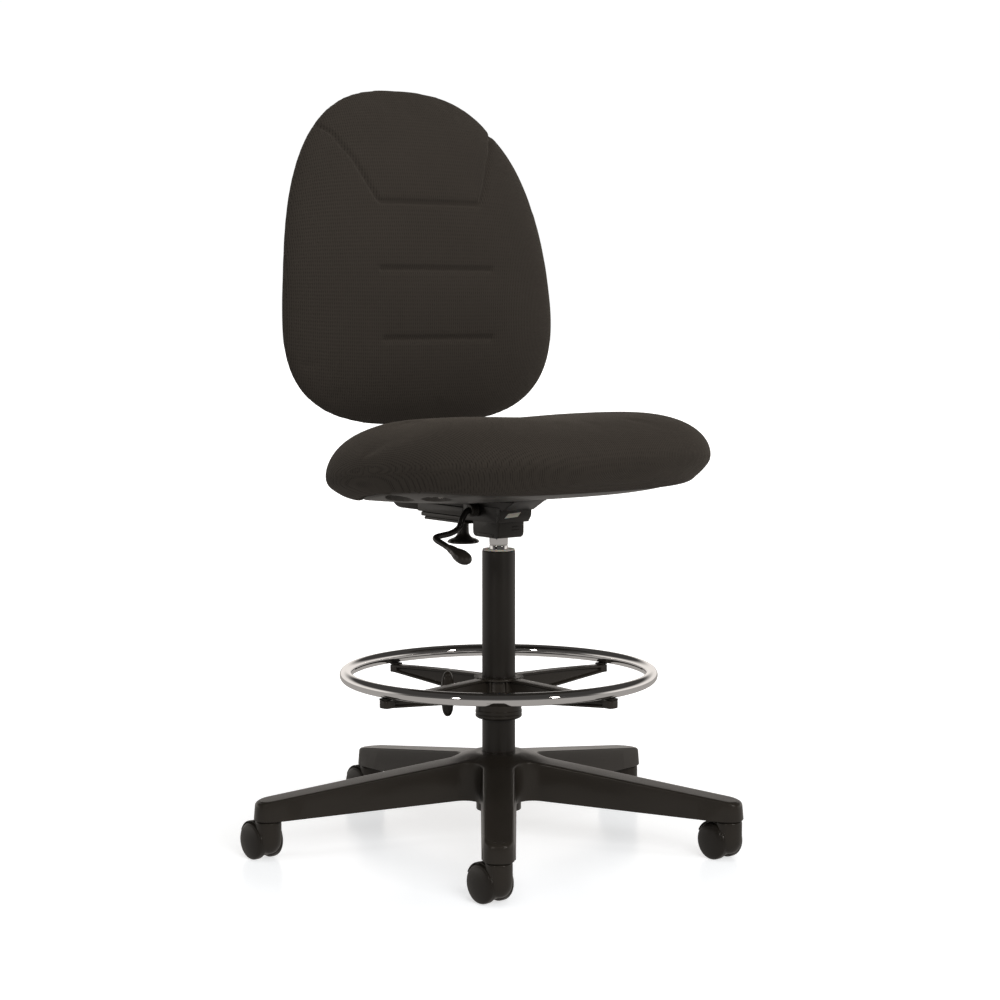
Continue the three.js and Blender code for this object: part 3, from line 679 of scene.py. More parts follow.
def hollow(along, share):
    """How far the underside is cut up into a leg, from 0 to 1."""
    if abs(share) > 0.8 or along < LEG["channel_start"] or along > LEG["channel_end"] + 0.5:
        return 0.0
    for rib in leg_ribs():
        if rib - 0.1 <= along <= rib + LEG["rib_thick"] + 0.1:
            return 0.28
    return 1.0


def leg_sector():
    """One fifth of the base, about the +X axis: upper face, drafted wall and ribbed underside."""
    half_outline = leg_outline()
    outline = half_outline + [(x, -y) for x, y in reversed(half_outline[:-1])]
    points = np.array(outline)
    along = np.gradient(points, axis=0)
    normals = np.stack([-along[:, 1], along[:, 0]], 1)
    normals /= np.linalg.norm(normals, axis=1, keepdims=True)
    turn = LEG_TURN
    normals[0] = (math.cos(turn), math.sin(turn))
    normals[-1] = (math.cos(turn), -math.sin(turn))
    count = len(points)
    middle = count // 2
    shape_points, faces = [], []

    def put(x, y, z):
        shape_points.append((x, y, z))
        return len(shape_points) - 1

    tip_start, tip_end = LEG["tip_centre"], LEG["tip_centre"] + LEG["tip_reach"]
    growth = LEG["tip_edge"] - LEG["edge"]
    edges = [LEG["edge"] + growth * smoothstep(tip_start, tip_end, x) for x, _ in points]
    wall_rows = []
    for k in range(5):
        angle = math.pi / 2 * k / 4
        row = []
        for i in range(count):
            moved = points[i] - normals[i] * edges[i] * (1 - math.sin(angle))
            height = leg_top(math.hypot(*points[i])) - edges[i] * (1 - math.cos(angle))
            row.append(put(*moved, height))
        wall_rows.append(row)
    for inset, lift in ((0.3, 1.6), (0.9, 0.4), (1.8, 0.0)):
        row = []
        for i in range(count):
            draft = LEG["tip_draft"] if points[i][0] > LEG["tip_centre"] else LEG["draft"]
            moved = points[i] + normals[i] * (draft - inset)
            row.append(put(*moved, leg_bottom(math.hypot(*points[i])) + lift))
        wall_rows.append(row)
    for low, high in zip(wall_rows, wall_rows[1:]):
        faces += [(low[i], low[i + 1], high[i + 1], high[i]) for i in range(count - 1)]

    shares = [1, 0.82, 0.79, 0.5, 0.2, 0, -0.2, -0.5, -0.79, -0.82, -1]

    def inner_rows(height_of):
        """Rows between the bore and the fillet's middle, closing in the hub."""
        rows = []
        for radius in (HUB["bore"], 31, 33.9, 34.1, 36, 44):
            row = []
            for share in shares:
                angle = turn * share
                x, y = radius * math.cos(angle), radius * math.sin(angle)
                row.append(put(x, y, height_of(math.hypot(x, y), 0.0, share)))
            rows.append(row)
        return rows

    def spans(boundary, height_of):
        rows = []
        for i in range(middle):
            left = Vector(shape_points[boundary[i]])
            right = Vector(shape_points[boundary[count - 1 - i]])
            row = [boundary[i]]
            for share in shares[1:-1]:
                spot = right.lerp(left, (share + 1) / 2)
                row.append(put(spot.x, spot.y, height_of(math.hypot(spot.x, spot.y), spot.x, share)))
            row.append(boundary[count - 1 - i])
            rows.append(row)
        return rows

    def upper(reach, along_leg, share):
        return leg_top(reach)

    def lower(reach, along_leg, share):
        base = leg_bottom(reach)
        room = leg_top(reach) - LEG["skin"] - base
        return base + room * hollow(along_leg, share)

    for boundary, height_of in ((wall_rows[0], upper), (wall_rows[-1], lower)):
        rows = inner_rows(height_of) + spans(boundary, height_of)
        for low, high in zip(rows, rows[1:]):
            faces += [(low[j], low[j + 1], high[j + 1], high[j]) for j in range(len(shares) - 1)]
        tip = boundary[middle]
        last = rows[-1]
        faces += [(last[j], last[j + 1], tip) for j in range(len(shares) - 1)]
    bore = [(HUB["bore"] * math.cos(turn * share), HUB["bore"] * math.sin(turn * share)) for share in shares]
    top_bore, low_bore = [[put(x, y, height) for x, y in bore] for height in (leg_top(0), HUB["socket"])]
    faces += [(top_bore[j], top_bore[j + 1], low_bore[j + 1], low_bore[j]) for j in range(len(shares) - 1)]
    return shape_points, faces


def add_star_base():
    shape = Shape()
    points, faces = leg_sector()
    for i in range(LEGS):
        shape.add(points, faces, turner(LEG["first"] + i * 360 / LEGS))
    shape.make("star_base_shell", "base", "black_plastic", ["star_base"], sharp=32)


# ---------------------------------------------------------------- casters
CASTER = {
    "trail_deg": 93, "trail": 18, "wheel": 27.5, "inner": 7, "outer": 24.8, "hood": 19.2, "fender": 30.2,
    "web": 24,
}
AXLE = {"radius": 2.9, "half": 18.4}


def add_wheel(number, letter, side, centre, move):
    node = f"caster_{number}_wheel_{letter}"
    radius, inner = CASTER["wheel"], CASTER["inner"]
    profile = soften([
        (0, 18.0), (3.4, 18.0), (3.4, inner), (radius - 2.5, inner), (radius, inner + 2.5),
        (radius, inner + 11), (radius - 1.6, inner + 13.6), (radius - 3.1, inner + 14.0),
        (radius - 3.9, inner + 14.6), (18, 23.1), (9, 24.5), (0, CASTER["outer"]),
    ], [0, 0, 0.8, 1.6, 2.0, 2.4, 0.8, 0.5, 0.5, 5, 5, 0])
    points, faces = lathe(profile, 72)
    shape = Shape().add(points, faces, lambda p: move((centre[0] + p[0], side * p[2], centre[2] + p[1])))
    shape.make(f"{node}_disc", node, "wheel_plastic", [node], sharp=28)


def add_hood(number, centre, move):
    """The collar about the stem, the web between the wheels and the fender over them."""
    top = span(f"caster_{number}_hood")[1][2]
    hood = CASTER["hood"]
    collar = soften([
        (0, 9.2), (7, 9.8), (13.2, 14.0), (hood - 1.2, 22.0), (hood, 31), (hood, 58.6), (5.5, 58.6),
        (5.5, top), (0, top),
    ], [0, 4, 6, 8, 8, 3.4, 0.6, 0.8, 0], steps=6)
    shape = Shape().add(*lathe(collar, 72), move)

    def in_wheel_plane(u, v, w):
        return move((centre[0] + u, w, centre[2] + v))

    shape.add(*prism(circle(CASTER["web"], 64), -6.2, 6.2, 0.8, in_wheel_plane))
    start, end = math.radians(24), math.radians(156)
    fender = arc(CASTER["fender"], start, end) + arc(CASTER["wheel"] + 0.9, end, start)
    shape.add(*prism(fender, -18, 18, 0.6, in_wheel_plane))
    shape.make(f"caster_{number}_hood_shell", f"caster_{number}", "black_plastic", [f"caster_{number}_hood"])


def add_axle(number, centre, move):
    points, faces = pin(AXLE["radius"], -AXLE["half"], AXLE["half"], 0.5, 32)
    shape = Shape().add(points, faces, lambda p: move((centre[0] + p[0], p[2], centre[2] + p[1])))
    shape.make(f"caster_{number}_axle_pin", f"caster_{number}", "zinc_steel", [f"caster_{number}_axle"])


def add_casters():
    for number in range(1, LEGS + 1):
        stem = joint_place(f"caster_{number}_swivel")
        move = turner(CASTER["trail_deg"], (stem[0], stem[1], 0))
        centre = (CASTER["trail"], 0, joint_place(f"caster_{number}_roll_a")[2])
        add_hood(number, centre, move)
        add_wheel(number, "a", 1, centre, move)
        add_wheel(number, "b", -1, centre, move)
        add_axle(number, centre, move)


# ---------------------------------------------------------------- gas column
COLUMN = {"radius": 25.0, "groove": 452}


def add_column():
    """The outer tube, its guide bush and the chromed pressure tube."""
    low, high = span("column_tube")
    radius = COLUMN["radius"]
    outer = soften([
        (6.0, low[2]), (radius - 1, low[2]), (radius, low[2] + 4), (radius, high[2] - 1),
        (radius - 1, high[2]), (22.2, high[2]), (22.2, low[2] + 6), (6.0, low[2] + 6),
    ], 1.0, closed=True)
    Shape().add(*ring_lathe(outer, 128)).make("column_tube_round", "base", "black_steel", ["column_tube"])
    low, high = span("guide_bush")
    bush = soften([
        (14.35, low[2]), (21.7, low[2]), (21.7, high[2] - 2.1), (24.4, high[2] - 2.1), (24.4, high[2] - 0.6),
        (23.4, high[2]), (14.35, high[2]),
    ], 0.4, closed=True)
    Shape().add(*ring_lathe(bush, 128)).make("guide_bush_ring", "base", "natural_nylon", ["guide_bush"])
    low, high = span("pressure_tube")
    groove = COLUMN["groove"]
    tube = soften([
        (5.5, low[2]), (13.2, low[2]), (14, low[2] + 1), (14, groove), (13.6, groove + 0.5),
        (13.6, groove + 1.5), (14, groove + 2), (14, high[2] - 1), (13, high[2]), (4.4, high[2]),
        (4.4, 476), (0.8, 476), (0.8, 440), (11, 440), (11, low[2] + 8), (5.5, low[2] + 8),
    ], 0.3, closed=True, steps=2)
    shape = Shape().add(*ring_lathe(tube, 128))
    shape.make("pressure_tube_round", "tilt_base", "chrome_plate", ["pressure_tube"])


# ---------------------------------------------------------------- footring
RING = {"radius": 229.8, "tube": 9.5}
SPIDER = {"first": 8, "count": 4, "bore": 25.5, "hub": 28.5}
WING = {"deg": 143, "offset": 77, "half_wide": 11, "half_thick": 9.4}


def add_ring():
    middle = centre_of("foot_ring")[2]
    section = [(RING["radius"] + u, middle + v) for u, v in circle(RING["tube"], 28)]
    shape = Shape().add(*ring_lathe(section, 240))
    shape.make("foot_ring_tube", "footring", "chrome_plate", ["foot_ring"], sharp=None)


def spoke_section(half, low, high):
    """An I section: two flanges, a recessed web and softened corners."""
    flange, web = 3.0, half * 0.52
    corners = [(half, low), (half, low + flange), (web, low + flange + 1.5), (web, high - flange - 1.5),
               (half, high - flange), (half, high)]
    corners += [(-u, v) for u, v in reversed(corners)]
    return soften(corners, [0.9, 0.9, 1.2, 1.2, 0.9, 0.9] * 2, closed=True, steps=3)


def spoke():
    """One spoke along +X and the block at its tip."""
    # Each station is its distance along, its lowest and highest height and its half width.
    stations = [(24, 219, 254, 9.6), (36, 219.6, 253.6, 9.2), (60, 221.5, 253, 9), (123, 226, 251, 9),
                (180, 230.8, 248.2, 9), (221, 234.2, 245.9, 9)]
    rings = []
    for along, low, high, half in stations:
        rings.append([(along, u, v) for u, v in spoke_section(half, low, high)])
    tip = [(219, -9), (233.5, -9), (236, -4.5), (236, 4.5), (233.5, 9), (219, 9)]
    shape = Shape().add(*skin(rings))
    shape.add(*prism(soften(tip, 1.5, closed=True), 234.4, 245.8, 0.9, upright))
    return shape.points, shape.faces


def add_spider():
    low, high = span("ring_spider")
    radius = SPIDER["hub"]
    hub = soften([
        (SPIDER["bore"], low[2]), (34, low[2]), (34.6, low[2] + 14), (radius + 2.5, low[2] + 17),
        (radius, 251), (radius - 1.4, high[2]), (SPIDER["bore"], high[2]),
    ], 1.2, closed=True)
    shape = Shape().add(*ring_lathe(hub, 96))
    flange = soften([(SPIDER["bore"], 250.6), (37.4, 250.6), (37.4, 253.8), (SPIDER["bore"], 253.8)],
                    [0.2, 0.9, 0.9, 0.2], closed=True)

    def toothed(point):
        """Twenty low teeth on the flange's upper face."""
        x, y, z = point
        tooth = 0.9 * abs(math.sin(10 * math.atan2(y, x)))
        return (x, y, z + tooth) if z > 252 and math.hypot(x, y) > 28 else point

    shape.add(*ring_lathe(flange, 192), toothed)
    spoke_points, spoke_faces = spoke()
    for i in range(SPIDER["count"]):
        shape.add(spoke_points, spoke_faces, turner(SPIDER["first"] + i * 360 / SPIDER["count"]))
    for i in range(SPIDER["count"] * 2):
        gusset = [(25.6, 222), (34, 222), (34, 250.8), (25.6, 250.8)]
        points, faces = prism(soften(gusset, 2, closed=True), -1.4, 1.4, 0.5, lambda u, v, w: (u, w, v))
        shape.add(points, faces, turner(SPIDER["first"] + 22.5 + i * 45))
    knob_z = centre_of("wing_knob")[2]
    boss = soften([(4.6, 26.5), (9.4, 26.5), (9, 41), (7.8, 42), (4.6, 42)], 0.6, closed=True)
    points, faces = lathe([*boss, (4.6, 26.5)], 40)
    shape.add([(z, x, knob_z + y) for x, y, z in points], faces, turner(WING["deg"]))
    shape.make("ring_spider_shell", "footring", "black_plastic", ["ring_spider"])


def add_ring_pads():
    """A rubber pad on the end of each spoke, under the ring."""
    bottom = span("foot_ring")[0][2]
    points, faces = block((222, 236), (-7, 7), (bottom - 2.8, bottom - 0.3), 0.8)
    for i in range(SPIDER["count"]):
        node = f"ring_pad_{i + 1}"
        shape = Shape().add(points, faces, turner(SPIDER["first"] + i * 90))
        shape.make(f"{node}_soft", "footring", "soft_rubber", [node])


def add_collar():
    """The clamp under the spider: an upper band, a joint line and a wider lower band."""
    low, high = span("clamp_collar")
    band, lip = 34.4, 35.2
    profile = soften([
        (SPIDER["bore"], low[2] - 3.0), (32.5, low[2] - 3.0), (lip, low[2] - 0.6), (lip, low[2] + 2.8),
        (lip - 0.8, low[2] + 3.4), (lip - 0.8, low[2] + 4.2), (lip, low[2] + 4.8), (lip, low[2] + 9),
        (band, low[2] + 9.8), (band, high[2]), (SPIDER["bore"], high[2]),
    ], [0.3, 1, 1, 0.4, 0.3, 0.3, 0.4, 0.5, 0.5, 0.5, 0.3], closed=True)
    shape = Shape().add(*ring_lathe(profile, 96))
    shape.make("clamp_collar_ring", "footring", "black_plastic", ["clamp_collar"])


def add_wing_knob():
    low, high = span("wing_knob")
    middle, height = (low[2] + high[2]) / 2, high[2] - low[2]
    rings = []
    for k in range(61):
        s = -math.cos(math.pi * k / 60)
        blunt = 5.0 if s < 0 else 3.5
        swell = max(0.02, 1.0 - abs(s) ** blunt) ** 0.5 * (1 + 0.08 * s)
        ring = []
        for i in range(64):
            angle = 2 * math.pi * i / 64
            c, d = math.cos(angle), math.sin(angle)
            reach = squircle(c, d, 2.6)
            face = smoothstep(0.72, 0.58, abs(c * reach)) * smoothstep(0.86, 0.78, abs(s))
            face *= smoothstep(-0.02, 0.1, s)
            thick = WING["half_thick"] * swell * reach * c
            wide = (WING["half_wide"] * swell * reach - 3.0 * float(face)) * d
            ring.append((WING["offset"] + thick, wide, middle + s * height / 2))
        rings.append(ring)
    shape = Shape().add(*skin(rings), turner(WING["deg"]))
    boss = soften([(4.4, 58), (8, 58), (8.6, 64), (8.6, 72), (4.4, 72)], 0.7, closed=True)
    points, faces = lathe(boss + [boss[0]], 40)
    shape.add([(z, x, middle + y) for x, y, z in points], faces, turner(WING["deg"]))
    shape.make("wing_knob_grip", "ring_clamp", "black_plastic", ["wing_knob"], sharp=50)
    points, faces = pin(3.9, 26, 73, 0.6, 32)
    screw = Shape().add([(z, x, middle + y) for x, y, z in points], faces, turner(WING["deg"]))
    screw.make("clamp_screw_shank", "ring_clamp", "zinc_steel", ["clamp_screw"])


# ---------------------------------------------------------------- tilt mechanism
PIVOT = {"forward": 22, "z": 500, "radius": 4}
CHASSIS = {"inner": 25.5, "outer": 29.5, "top": 525, "web": 512, "bottom": 489}


def add_tilt_housing():
    """The taper cup on the pressure tube, with two side ribs and two low bars behind."""
    cup = [(-34, 465), (32, 465), (32, 496), (28.6, 498), (28.6, 505), (26, 508), (18, 508), (15.6, 505),
           (15.6, 498), (-34, 498)]
    shape = Shape().add(*side_view(cup, 24, edge=2.4, radius=[9, 10, 3, 1, 1, 2, 2, 1, 1, 2]))
    rib = [(-20, 467), (18, 467), (18, 471), (-20, 471)]
    for side in (-1, 1):
        shape.add(*side_view(rib, 0.9, edge=0.4, radius=1, middle=side * 24.2))
    for lift in (476, 481):
        shape.add(*block((2, 15), (-32.9, -31), (lift, lift + 2.2), 0.6))
    shape.make("tilt_cup", "tilt_base", "black_steel", ["tilt_housing"], sharp=45)
    reach = CHASSIS["outer"] - 0.8
    points, faces = pin(PIVOT["radius"], -reach, reach, 0.6, 40)
    across = Shape().add([(z, x - PIVOT["forward"], PIVOT["z"] + y) for x, y, z in points], faces)
    across.make("pivot_pin_round", "tilt_base", "zinc_steel", ["pivot_pin"])


def add_chassis():
    outer, top, web, bottom = CHASSIS["outer"], CHASSIS["top"], CHASSIS["web"], CHASSIS["bottom"]
    beam = [(-215, 512.3), (-170, 512.3), (-170, 508), (-50, 508), (-50, web), (40, web), (44, 508),
            (48, 508), (79, top), (-215, top)]
    cheek = [(-50, bottom), (34, bottom), (34, web + 1), (-50, web + 1)]
    front = [(32.6, bottom), (36, bottom), (43, 499), (43, web + 1), (32.6, web + 1)]
    shape = Shape().add(*side_view(beam, outer, edge=1.6, radius=[1, 1, 1, 1, 1, 1, 2, 3, 1.2, 1.2]))
    wall = (outer - CHASSIS["inner"]) / 2
    for side in (-1, 1):
        middle = side * (outer + CHASSIS["inner"]) / 2
        shape.add(*side_view(cheek, wall, edge=0.9, radius=[6, 3, 1, 1], middle=middle))
    shape.add(*side_view(front, outer, edge=1.4, radius=[2, 3, 4, 1, 1]))
    shape.make("chassis_pressing", "seat_assembly", "black_steel", ["chassis"], sharp=45)


def add_blank_label():
    """A small pale parallelogram, stuck on the chassis' sloping front and left blank."""
    corners = [(-21, 496.5), (3, 498), (9, 505), (-15, 503.5)]

    def to_chair(u, v, w):
        lean = max(0.0, 499 - v) * 7 / 10
        return (u, -(43.15 - lean) - w, v)

    points, faces = prism(soften(corners, 1.0, closed=True), 0.0, 0.3, 0.08, to_chair)
    Shape().add(points, faces).make("chassis_label_blank", "seat_assembly", "natural_nylon")


def add_spring_housing():
    """The cover of the tension spring: three layers about a core, each stepped in below the one above."""
    outer = CHASSIS["outer"]
    shape = Shape()
    layers = ((-157, 481.5, 486.0, 3.2), (-163.5, 486.4, 493.0, 1.6), (-170, 493.4, 507.7, 0.0))
    for rear, low, high, inset in layers:
        layer = [(-50.3, low), (rear, low), (rear, high), (-50.3, high)]
        shape.add(*side_view(layer, outer - inset, edge=1.5, radius=[1.5, 2, 2, 1.5]))
    core = [(-52, 484), (-155, 484), (-155, 500), (-52, 500)]
    shape.add(*side_view(core, outer - 4.4, edge=0.4, radius=0.5))
    shape.make("spring_housing_cover", "seat_assembly", "black_plastic", ["spring_housing"], sharp=45)


def add_plate():
    low, high = span("seat_plate")
    corners = soften(rectangle(low, high), 14, closed=True, steps=6)
    plate = Shape().add(*prism(corners, low[2], high[2], 1.2, upright))
    plate.make("seat_plate_pressing", "seat_assembly", "black_steel", ["seat_plate"])


def add_seat_bolts():
    for number in range(1, 5):
        low, high = span(f"seat_bolt_{number}")
        x, y, _ = centre_of(f"seat_bolt_{number}")
        head = low[2] + 4
        profile = soften([
            (0, low[2] + 1.6), (2.2, low[2] + 1.6), (2.2, low[2]), (4.4, low[2] + 0.3), (6, low[2] + 2.2),
            (6, head), (3, head), (3, high[2]), (0, high[2]),
        ], [0, 0.2, 0.4, 0.8, 1, 0.4, 0.2, 0.3, 0])
        bolt = Shape().add(*lathe(profile, 36), lambda p: (p[0] + x, p[1] + y, p[2]))
        bolt.make(f"seat_bolt_{number}_head", "seat_assembly", "zinc_steel", [f"seat_bolt_{number}"])


THREAD = {"pitch": 1.5, "root": 3.5, "crest": 3.95}


def add_tension_knob():
    """A bell with twelve shallow grips about its rim."""
    low, high = span("tension_knob")
    y = centre_of("tension_knob")[1]
    bottom, top = low[2], high[2]
    profile = soften([
        (0, bottom + 0.6), (21, bottom), (24.5, bottom + 1.2), (24.5, bottom + 3.6), (21, bottom + 6.4),
        (13, bottom + 9), (9.2, bottom + 14), (8.5, bottom + 22), (8.5, top), (4.4, top),
        (4.4, bottom + 12.4), (0, bottom + 12.4),
    ], [0, 2, 1, 1.5, 3, 3, 4, 2, 0.8, 0.3, 0.3, 0], steps=5)

    def lobes(angle, radius, height):
        grip = smoothstep(19, 24, radius) * smoothstep(bottom + 9, bottom + 3, height)
        return radius - 1.1 * grip * (0.5 - 0.5 * math.cos(12 * angle)) ** 2

    bell = Shape().add(*lathe(profile, 144, lobes), lambda p: (p[0], p[1] + y, p[2]))
    bell.make("tension_knob_bell", "tension_adjuster", "black_plastic", ["tension_knob"], sharp=50)


def add_tension_screw():
    """The knob's screw, with its thread as a stack of ridges."""
    low, high = span("tension_screw")
    y = centre_of("tension_knob")[1]
    ridges = []
    for k in range(int((high[2] - low[2]) / THREAD["pitch"])):
        start = low[2] + THREAD["pitch"] * k
        ridges += [(THREAD["root"], start + 0.2), (THREAD["crest"], start + 0.9)]
    profile = [(0, low[2]), *ridges, (THREAD["root"], high[2]), (0, high[2])]
    screw = Shape().add(*lathe(profile, 32), lambda p: (p[0], p[1] + y, p[2]))
    screw.make("tension_screw_thread", "tension_adjuster", "zinc_steel", ["tension_screw"], sharp=60)


LEVER_ROUTE = [
    (34, -16, 506), (47, -16, 505), (56, -16, 494), (63, -15, 481), (78, -14, 474), (104, -12, 470.5),
    (112.5, -3, 467.5), (112.5, 20, 460.5), (112.5, 40, 453.5),
]
LEVER_ROD = 4.5
PADDLE = {"shift": (-8.5, 3.2, 3), "tilt": 18, "half_wide": 11.6, "half_long": 23, "half_thick": 9.6}


def add_lever_bush():
    """The ribbed bush where the lever leaves the chassis."""
    _, y, z = centre_of("lever_bush")
    wall = CHASSIS["outer"] + 0.3
    profile = [(0, wall), (9.6, wall)]
    for k in range(3):
        start = wall + 0.8 + k * 4.4
        profile += [(10, start), (10, start + 2.6), (8.7, start + 3.1), (8.7, start + 4.0)]
    profile += [(9.4, wall + 13.4), (8.4, wall + 14), (4.9, wall + 14), (4.9, wall + 3.2), (0, wall + 3.2)]
    points, faces = lathe(soften(profile, [0, 0.3] + [0.4] * 12 + [0.4, 0.6, 0.2, 0.2, 0]), 64)
    boss = Shape().add([(-h, y + a, z + b) for a, b, h in points], faces)
    boss.make("lever_bush_boss", "seat_assembly", "black_plastic", ["lever_bush"])


def add_lever_rod():
    path = curve_through([(-right, -ahead, height) for right, ahead, height in LEVER_ROUTE], 10)
    rod = Shape().add(*sweep(path, lambda t: circle(LEVER_ROD, 24)))
    rod.make("lever_rod_bent", "lever", "black_steel", ["lever_rod"])


def add_lever_paddle():
    """An egg-shaped grip with rows of shallow dimples, and the neck that takes the rod."""
    low, high = span("lever_paddle")
    centre = Vector((low + high) / 2) + Vector(PADDLE["shift"])
    tilt = Matrix.Rotation(math.radians(PADDLE["tilt"]), 3, "X")
    rows = []
    for i in range(1, 48):
        polar = math.pi * i / 48
        taper = 1 - 0.28 * math.cos(polar)
        row = []
        for k in range(72):
            angle = 2 * math.pi * k / 72
            dimple = 0.7 * max(0.0, math.sin(9 * angle)) * max(0.0, math.sin(11 * polar)) * math.sin(polar)
            x = (PADDLE["half_wide"] * taper - dimple) * math.sin(polar) * math.cos(angle)
            z = (PADDLE["half_thick"] * taper - dimple) * math.sin(polar) * math.sin(angle)
            row.append(tuple(centre + tilt @ Vector((x, PADDLE["half_long"] * math.cos(polar), z))))
        rows.append(row)
    shape = Shape().add(*skin(rows))
    neck = [tilt @ Vector((0, along, 0)) + centre for along in (29, 24, 19, 13)]
    sizes = [5.0, 6.0, 6.8, 7.2]
    shape.add(*sweep(neck, lambda t: circle(sizes[round(t * 3)], 24)))
    shape.make("lever_paddle_grip", "lever", "black_plastic", ["lever_paddle"], sharp=60)


# ---------------------------------------------------------------- seat
SEAT = {
    "half_wide": 265.5, "half_deep": 242.3, "power": 2.95, "centre": -48, "edge": 571.8, "slope": 0.098,
    "crown": 72.4, "bolster": 34, "rise": 8.4, "dome": (3.23, 1.93), "under": 49, "droop": 5,
}
PAN = {
    "half_wide": 240, "front": 150, "rear": 226, "centre": -71, "front_power": 3, "rear_power": 2.2,
    "depth": 22, "clear_to": 140, "clear_fall": 0.25,
}
POCKETS = ({"x": 222, "y": -62, "floor": 548}, {"x": 203, "y": -125, "floor": 545})
POCKET = {"half_wide": 15, "half_long": 24}


def seat_spot(angle, share, lift):
    """A point on one of the seat's rings. lift(across squared, back) is its height above the edge."""
    c, s = math.cos(angle), math.sin(angle)
    reach = share * squircle(c, s, SEAT["power"])
    y = SEAT["half_deep"] * reach * s
    height = SEAT["edge"] - SEAT["slope"] * y + lift((reach * c) ** 2, reach * s)
    return SEAT["half_wide"] * reach * c, SEAT["centre"] + y, height


def seat_ring(share, lift, steps=128):
    return [seat_spot(2 * math.pi * k / steps, share, lift) for k in range(steps)]


def seat_edge(y):
    """Height of the seat's widest line."""
    return SEAT["edge"] - SEAT["slope"] * (y - SEAT["centre"])


def seat_share(x, y):
    """0 at the seat's centre, 1 on its outline."""
    wide = np.abs(np.asarray(x, float) / SEAT["half_wide"]) ** SEAT["power"]
    deep = np.abs((np.asarray(y, float) - SEAT["centre"]) / SEAT["half_deep"]) ** SEAT["power"]
    return (wide + deep) ** (1 / SEAT["power"])


def seat_dome(share):
    """The crown's profile: 1 at the middle, 0 at the edge."""
    power, root = SEAT["dome"]
    return np.clip(1 - share ** power, 0, 1) ** (1 / root)


def seat_height(across_squared, back):
    """The crown's full height above the edge, higher along the sides and towards the back."""
    return SEAT["crown"] + SEAT["bolster"] * across_squared + SEAT["rise"] * back


def seat_under(x, y):
    """Height of the rounded underside, which the mechanism keeps clear near the middle."""
    belly = seat_edge(y) - SEAT["under"] * np.sqrt(np.clip(1 - seat_share(x, y) ** 4, 0, 1))
    plane = span("seat_pan")[0][2] + 0.3
    return np.maximum(belly, plane - PAN["clear_fall"] * np.maximum(0, np.abs(x) - PAN["clear_to"]))


def pan_ring(share, out, height_at, steps=128):
    """A ring on the pan's outline, drawn in by a share and pushed out by millimetres."""
    ring = []
    for k in range(steps):
        c, s = math.cos(2 * math.pi * k / steps), math.sin(2 * math.pi * k / steps)
        deep, power = (PAN["rear"], PAN["rear_power"]) if s > 0 else (PAN["front"], PAN["front_power"])
        reach = share * squircle(c, s, power)
        x = (PAN["half_wide"] + out) * reach * c
        y = PAN["centre"] + (deep + out) * reach * s
        ring.append((x, y, float(height_at(x, y))))
    return ring


def seat_cushion_form():
    """The seat's closed form: a foam bed inside the pan's rim, a roll under the edge and a crown."""

    def bed(x, y):
        return seat_edge(y) - PAN["depth"] + 0.6

    rim = pan_ring(1, 1.2, seat_under)
    outer = seat_ring(0.97, lambda b, r: 0.0)
    rings = [pan_ring(0.05, 0, bed), pan_ring(0.5, 0, bed), pan_ring(1, 0.6, bed), rim]
    for t in (0.2, 0.4, 0.6, 0.8, 1.0):
        spots = [(a[0] + (b[0] - a[0]) * t, a[1] + (b[1] - a[1]) * t) for a, b in zip(rim, outer)]
        droop = SEAT["droop"] * math.sin(math.pi * t ** 0.7)
        rings.append([(x, y, float(seat_under(x, y) - droop * smoothstep(60, -120, y))) for x, y in spots])
    for share in (0.98, 0.988, 0.994, 0.998, 1.0):
        rings.append([(x, y, float(seat_under(x, y))) for x, y, z in seat_ring(share, lambda b, r: 0.0)])
    shares = [0.998, 0.993, 0.985, 0.972, 0.955, 0.93, 0.9, 0.86, 0.81, 0.75, 0.68, 0.6, 0.5, 0.4, 0.3, 0.2,
              0.1, 0.03]
    for share in shares:
        dome = seat_dome(share)
        rings.append(seat_ring(share, lambda b, r, dome=dome: dome * seat_height(b, r)))
    return skin(rings)


VOXEL = 5.0
SWELL_CAP = 1.5
SWELL_FRAMES = 20
CLOTH = {
    "quality": 6, "mass": 0.3, "use_pressure": True, "uniform_pressure_force": 4,
    "tension_stiffness": 60, "compression_stiffness": 60, "shear_stiffness": 30, "bending_stiffness": 4,
}


def relax(made, iterations, factor):
    smooth = made.modifiers.new("relax", "SMOOTH")
    smooth.iterations = iterations
    smooth.factor = factor


def stuffed(name, points, faces, pinned):
    """Remeshes a closed form, swells it as pressurised cloth and returns it, in metres, with no modifiers.

    pinned(points) marks the points that stay, where the form rests on something hard.
    """
    made = new_object(name, points, faces, weld=False)
    bpy.context.view_layer.objects.active = made
    remesh = made.modifiers.new("remesh", "REMESH")
    remesh.mode = "VOXEL"
    remesh.voxel_size = VOXEL * MM
    relax(made, 3, 0.5)
    apply_modifiers(made)
    start = read_points(made.data)
    swell(made, pinned)
    moved = read_points(made.data) - start
    far = np.linalg.norm(moved, axis=1, keepdims=True)
    moved *= np.minimum(1.0, SWELL_CAP * MM / np.maximum(far, 1e-9))
    write_points(made.data, start + moved)
    relax(made, 2, 0.4)
    divide = made.modifiers.new("divide", "SUBSURF")
    divide.levels = divide.render_levels = 1
    apply_modifiers(made)
    return made


